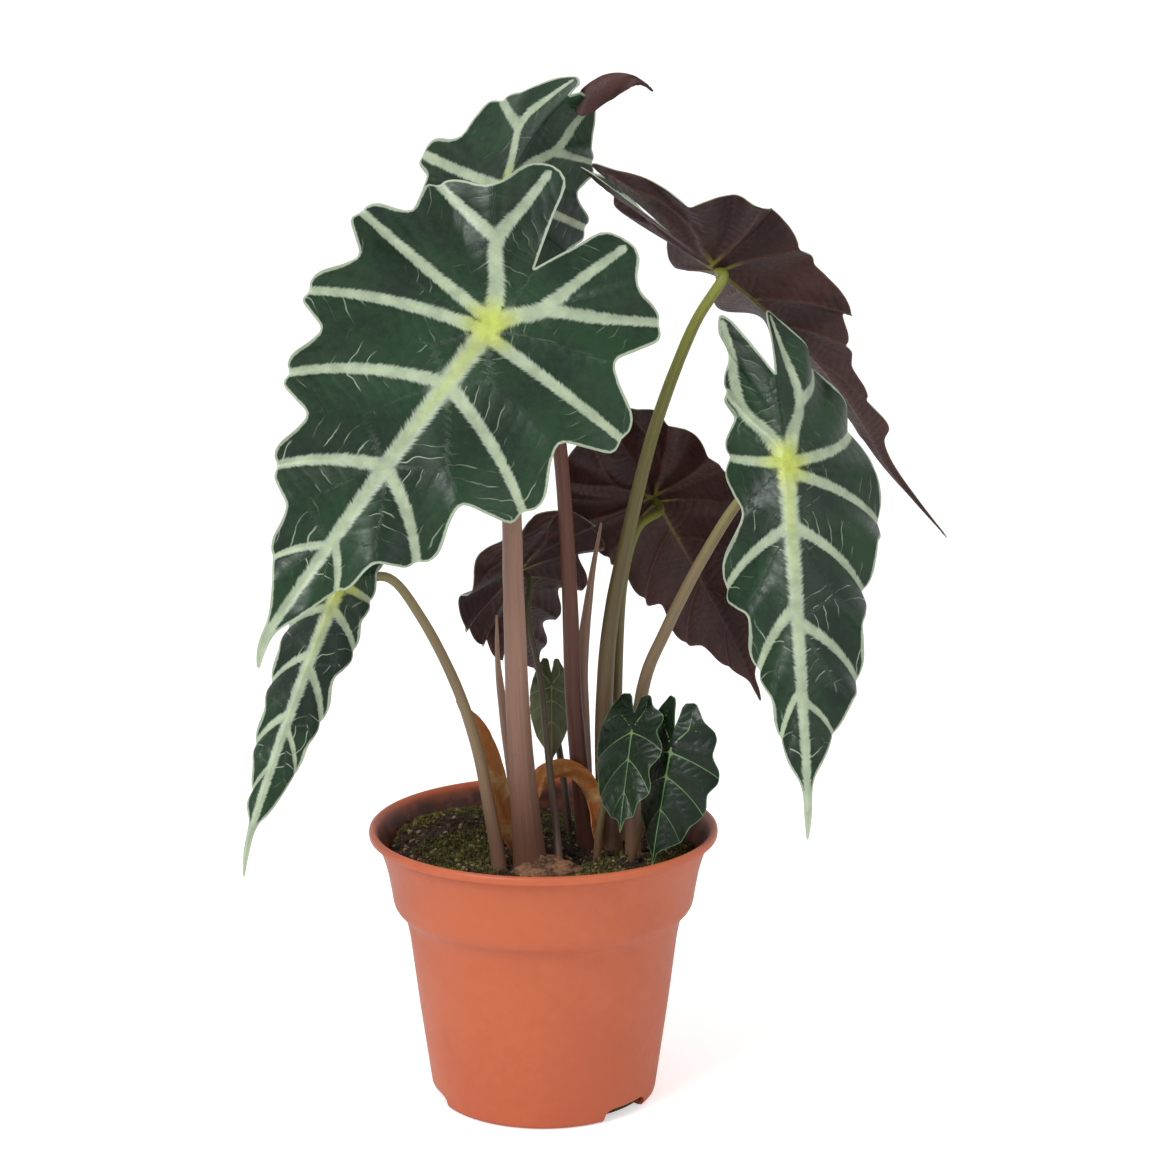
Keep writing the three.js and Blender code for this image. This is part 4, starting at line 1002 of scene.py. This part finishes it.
def rough(x, y, rng_seed):
    """Smooth random bumps from a few dozen waves."""
    rng = np.random.default_rng(rng_seed)
    total = 0 * x
    for _ in range(40):
        f, a, p = rng.uniform(0.12, 1.3), rng.uniform(0, 2 * np.pi), rng.uniform(0, 2 * np.pi)
        total = total + np.sin(f * (x * np.cos(a) + y * np.sin(a)) + p) / (1 + 2.2 * f)
    return total * 0.32


SOIL_WALL = 53.0
SOIL_SKIRTS = [(52.0, 81.5), (50.1, 69.2), (47.6, 65.7), (45.2, 60.0), (37.2, 2.3)]


def make_soil():
    around, rings = 150, 46
    angle = 2 * np.pi * np.arange(around) / around
    radii = SOIL_WALL * (np.arange(1, rings + 1) / rings)
    x = np.concatenate([[0], (radii[:, None] * np.cos(angle)).ravel()])
    y = np.concatenate([[0], (radii[:, None] * np.sin(angle)).ravel()])
    z = soil_level(x, y) + rough(x, y, 4)
    skirts = [np.column_stack([r * np.cos(angle), r * np.sin(angle), 0 * angle + h]) for r, h in SOIL_SKIRTS]
    points = np.vstack([np.column_stack([x, y, z]), *skirts, [0, 0, SOIL_SKIRTS[-1][1]]])
    soil = finish_mesh("soil_bed", points, turned_faces(around, rings + len(skirts)), [SOIL])
    keep(soil, "soil", "potting_soil")
    return soil


def lump():
    """An uneven grain of twenty faces."""
    t = (1 + 5 ** 0.5) / 2
    v = np.array([(-1, t, 0), (1, t, 0), (-1, -t, 0), (1, -t, 0), (0, -1, t), (0, 1, t), (0, -1, -t),
                  (0, 1, -t), (t, 0, -1), (t, 0, 1), (-t, 0, -1), (-t, 0, 1)], float)
    v = v / np.linalg.norm(v[0]) * np.random.default_rng(3).uniform(0.65, 1.15, (12, 1)) * [1, 0.8, 0.65]
    f = [(0, 11, 5), (0, 5, 1), (0, 1, 7), (0, 7, 10), (0, 10, 11), (1, 5, 9), (5, 11, 4), (11, 10, 2),
         (10, 7, 6), (7, 1, 8), (3, 9, 4), (3, 4, 2), (3, 2, 6), (3, 6, 8), (3, 8, 9), (4, 9, 5),
         (2, 4, 11), (6, 2, 10), (8, 6, 7), (9, 8, 1)]
    return finish_mesh("grain_lump", v, f, [])


def tuft():
    """Five leaning spikes from one root."""
    rng = np.random.default_rng(8)
    v, f = [], []
    for _ in range(5):
        a, lean, h = rng.uniform(0, 6.283), rng.uniform(0.2, 0.9), rng.uniform(0.9, 1.7)
        d = np.array([math.cos(a), math.sin(a), 0])
        e = np.array([-math.sin(a), math.cos(a), 0])
        s = len(v)
        v += [d * 0.12 + e * 0.26, d * 0.12 - e * 0.26, -d * 0.22, d * lean + np.array([0, 0, h])]
        f += [(s, s + 2, s + 1), (s, s + 1, s + 3), (s + 1, s + 2, s + 3), (s + 2, s, s + 3)]
    return finish_mesh("grain_tuft", v, f, [])


def scatter_tree():
    """Geometry Nodes: grains strewn over the upward faces of a bed, thinned by soft patches."""
    tree, n, given, out = node_group(
        "strewn grains", "GeometryNodeTree",
        [("Bed", "Geometry"), ("Grain", "Object"),
         *numbers(Density=1e6, Smallest=0.0004, Largest=0.0014, Patch_Scale=40.0, Patch_Floor=0.4),
         ("Seed", "Int", 1), ("Skin", "Material")],
        [("Grains", "Geometry")])
    seed = given["Seed"]
    up = n.fed("ShaderNodeSeparateXYZ", {0: n.add("GeometryNodeInputNormal").outputs[0]}).outputs[2]
    facing = n.math("GREATER_THAN", up, 0.35)
    place = n.add("GeometryNodeInputPosition").outputs[0]
    floor = given["Patch Floor"]
    patch = n.span(n.noise(place, given["Patch Scale"], 2.0), floor, n.plus(floor, 0.12))
    density = n.times(n.times(facing, patch), given["Density"])
    strewn = n.fed("GeometryNodeDistributePointsOnFaces",
                   {"Mesh": given["Bed"], "Density": density, "Seed": seed}, distribute_method="RANDOM")
    size = n.fed("FunctionNodeRandomValue", {2: given["Smallest"], 3: given["Largest"], "Seed": seed},
                 data_type="FLOAT")
    turn = n.fed("FunctionNodeRandomValue", {0: (-0.7, -0.7, 0.0), 1: (0.7, 0.7, 6.283)},
                 data_type="FLOAT_VECTOR")
    grain = n.fed("GeometryNodeObjectInfo", {"Object": given["Grain"]})
    put = n.fed("GeometryNodeInstanceOnPoints",
                {"Points": strewn.outputs["Points"], "Instance": grain.outputs["Geometry"],
                 "Rotation": turn.outputs[0], "Scale": n.times(size.outputs[1], 1000.0)})
    shade = n.fed("FunctionNodeRandomValue", {"Seed": n.plus(seed, 5.0)}, data_type="FLOAT")
    store = n.fed("GeometryNodeStoreNamedAttribute",
                  {"Geometry": put.outputs["Instances"], "Name": "tint", "Value": shade.outputs[1]},
                  data_type="FLOAT", domain="INSTANCE")
    n.finish(out["Grains"], store.outputs["Geometry"], given["Skin"])
    return tree


def make_ground_cover(soil):
    tree = scatter_tree()
    crumbs = dict(Density=520000.0, Smallest=0.0004, Largest=0.0015, Patch_Scale=60.0, Patch_Floor=0.2,
                  Seed=3, Skin=CRUMBS)
    moss = dict(Density=1500000.0, Smallest=0.0005, Largest=0.0011, Patch_Scale=48.0, Patch_Floor=0.44,
                Seed=11, Skin=MOSS)
    for name, grain, settings in (("soil_crumbs", lump(), crumbs), ("moss_tufts", tuft(), moss)):
        piece = add_piece(name, soil.data.copy())
        grow(piece, tree, Grain=grain, **settings)
        keep(piece, "soil")
        bpy.data.objects.remove(grain)


# ------------------------------------------------------------------ corm and bracts
CORM = dict(centre=(1, -19.5, 82.5), size=(13, 9, 7.5), turn=-8)


def make_corm():
    rows, around = 40, 64
    points = []
    turn = math.radians(CORM["turn"])
    for i in range(rows + 1):
        lat = math.pi * i / rows
        for k in range(around if 0 < i < rows else 1):
            lon = 2 * math.pi * k / around
            d = np.array([math.sin(lat) * math.cos(lon), math.sin(lat) * math.sin(lon), math.cos(lat)])
            swell = 0.06 * math.sin(3 * lon + 4 * d[2]) + 0.05 * math.sin(7 * lon - 9 * d[2])
            p = d * CORM["size"] * (1 + swell + 0.035 * math.sin(26 * d[2]))
            x = p[0] * math.cos(turn) - p[1] * math.sin(turn)
            y = p[0] * math.sin(turn) + p[1] * math.cos(turn)
            points.append(np.array([x, y, p[2]]) + CORM["centre"])
    keep(finish_mesh("corm_stub", points, turned_faces(around, rows - 1), [BARK]), "corm", "corm")


BRACTS = {
    "dry_bract_left": dict(bend=7, facing=(0.35, -0.9, 0.1), half=(1.6, 3.2, 3.6, 2.6, 0.3),
                           path=[(-11, -10.5, 90), (-13.5, -11, 106), (-17, -12, 122), (-22, -13, 134),
                                 (-29, -13.5, 143)]),
    "dry_bract_arch": dict(bend=12, facing=(0, -1, 0.25), half=(2.2, 2.6, 3.2, 3, 3, 2.6, 1.6),
                           path=[(-5, 3.5, 90), (-4.5, 4, 103), (0, 4.6, 112), (8, 4.4, 114.5), (15, 3, 110),
                                 (18.5, -0.5, 101), (18, -3, 91)]),
}


def curled_strip(name, strip, materials, count=60, across=12, thick=0.45, crinkle=0.5, seed=1):
    """A thin closed strip along a path, hollowed across, with crinkled edges."""
    rng = np.random.default_rng(seed)
    path = smooth_path(strip["path"], count)
    along = np.gradient(path, axis=0)
    along /= np.linalg.norm(along, axis=1, keepdims=True)
    face = np.array(strip["facing"], float)
    face = face - along * (along @ face)[:, None]
    face /= np.linalg.norm(face, axis=1, keepdims=True)
    side = np.cross(along, face)
    u = np.linspace(0, 1, count)
    half = np.interp(u, np.linspace(0, 1, len(strip["half"])), strip["half"])
    ends = np.clip(np.minimum(u, 1 - u) * 14, 0.08, 1) ** 0.5
    k = np.linspace(-1, 1, across + 1)
    w = (half * ends / strip["bend"])[:, None] * k
    phases = rng.uniform(0, 6.28, 6)
    wrinkle = sum(np.sin(u[:, None] * (9 + 7 * i) + k * (2 + i) + phases[i]) / (1 + i) for i in range(6))
    sink = strip["bend"] * (1 - np.cos(w)) - crinkle * wrinkle * (0.4 + 0.6 * np.abs(k))
    wide = strip["bend"] * np.sin(w)
    grid = path[:, None] + side[:, None] * wide[..., None] - face[:, None] * sink[..., None]
    normal = np.cross(np.gradient(grid, axis=1), np.gradient(grid, axis=0))
    normal /= np.maximum(np.linalg.norm(normal, axis=-1, keepdims=True), 1e-9)
    flat = grid.reshape(-1, 3)
    lift = normal.reshape(-1, 3) * thick / 2
    rows, cols = grid.shape[:2]
    index, top = sheet_faces(rows, cols)
    loop = np.concatenate([index[0, :-1], index[:-1, -1], index[-1, :0:-1], index[:0:-1, 0]])
    plan = np.stack([np.repeat(u, cols) * 4, np.tile(k, rows)], -1)
    plain = np.full(rows * cols, 9.0)
    return thin_body(name, flat + lift, flat - lift, top, loop, materials,
                     dict(vein=plain, edge=plain, hub=plain * 9, rib=plain, along=plain, arc=plain), plan)


LOBE_CURL = dict(bend=6, facing=(-0.1, -1, 0.1), half=(3.4, 4.6, 4.6, 3.2, 1.5, 0.5, 0.3),
                 path=[(12.5, 12.5, 336), (16.5, 13.8, 341.5), (22, 14.5, 345), (27, 14.5, 346.5),
                       (31, 14, 346.8), (34, 13.5, 345.8), (37, 13, 343.5)])


def make_lobe_curl():
    """The end of the top leaf's lobe, rolled back so that its dark underside shows."""
    piece = curled_strip("leaf_top_lobe_curl", LOBE_CURL, [LEAF_UNDER, LEAF_TOP], crinkle=0.35, seed=9)
    keep(piece, "leaf")


def make_bracts():
    for i, (name, strip) in enumerate(BRACTS.items()):
        piece = curled_strip(f"{name}_paper", strip, [PAPER], thick=0.35, crinkle=0.9 + 1.1 * i, seed=5 + i)
        keep(piece, "dry_bract", name)


# ------------------------------------------------------------------ assembly
set_camera()
make_pot()
bed = make_soil()
make_ground_cover(bed)
make_corm()
make_stalks()
make_blades()
make_lobe_curl()
make_bracts()

floor = finish_mesh("floor", [(-3000, -3000, 0), (3000, -3000, 0), (3000, 3000, 0), (-3000, 3000, 0)],
                    [(0, 1, 2, 3)], [floor_white()])

world = bpy.data.worlds.new("studio")
bpy.context.scene.world = world
world.use_nodes = True
sky = Nodes(world.node_tree)
glow = world.node_tree.nodes["Background"]
glow.inputs["Color"].default_value = (1, 1, 1, 1)
sky.put(glow.inputs["Strength"], sky.span(sky.add("ShaderNodeLightPath").outputs["Is Camera Ray"], 0.0, 1.0,
                                          0.6, 1.1, smooth=False))
area_light("key", (-0.9, -1.1, 1.35), 0.8, 16)
area_light("fill", (1.3, -0.7, 0.9), 1.0, 2.5)
bpy.context.scene.view_settings.view_transform = "Standard"
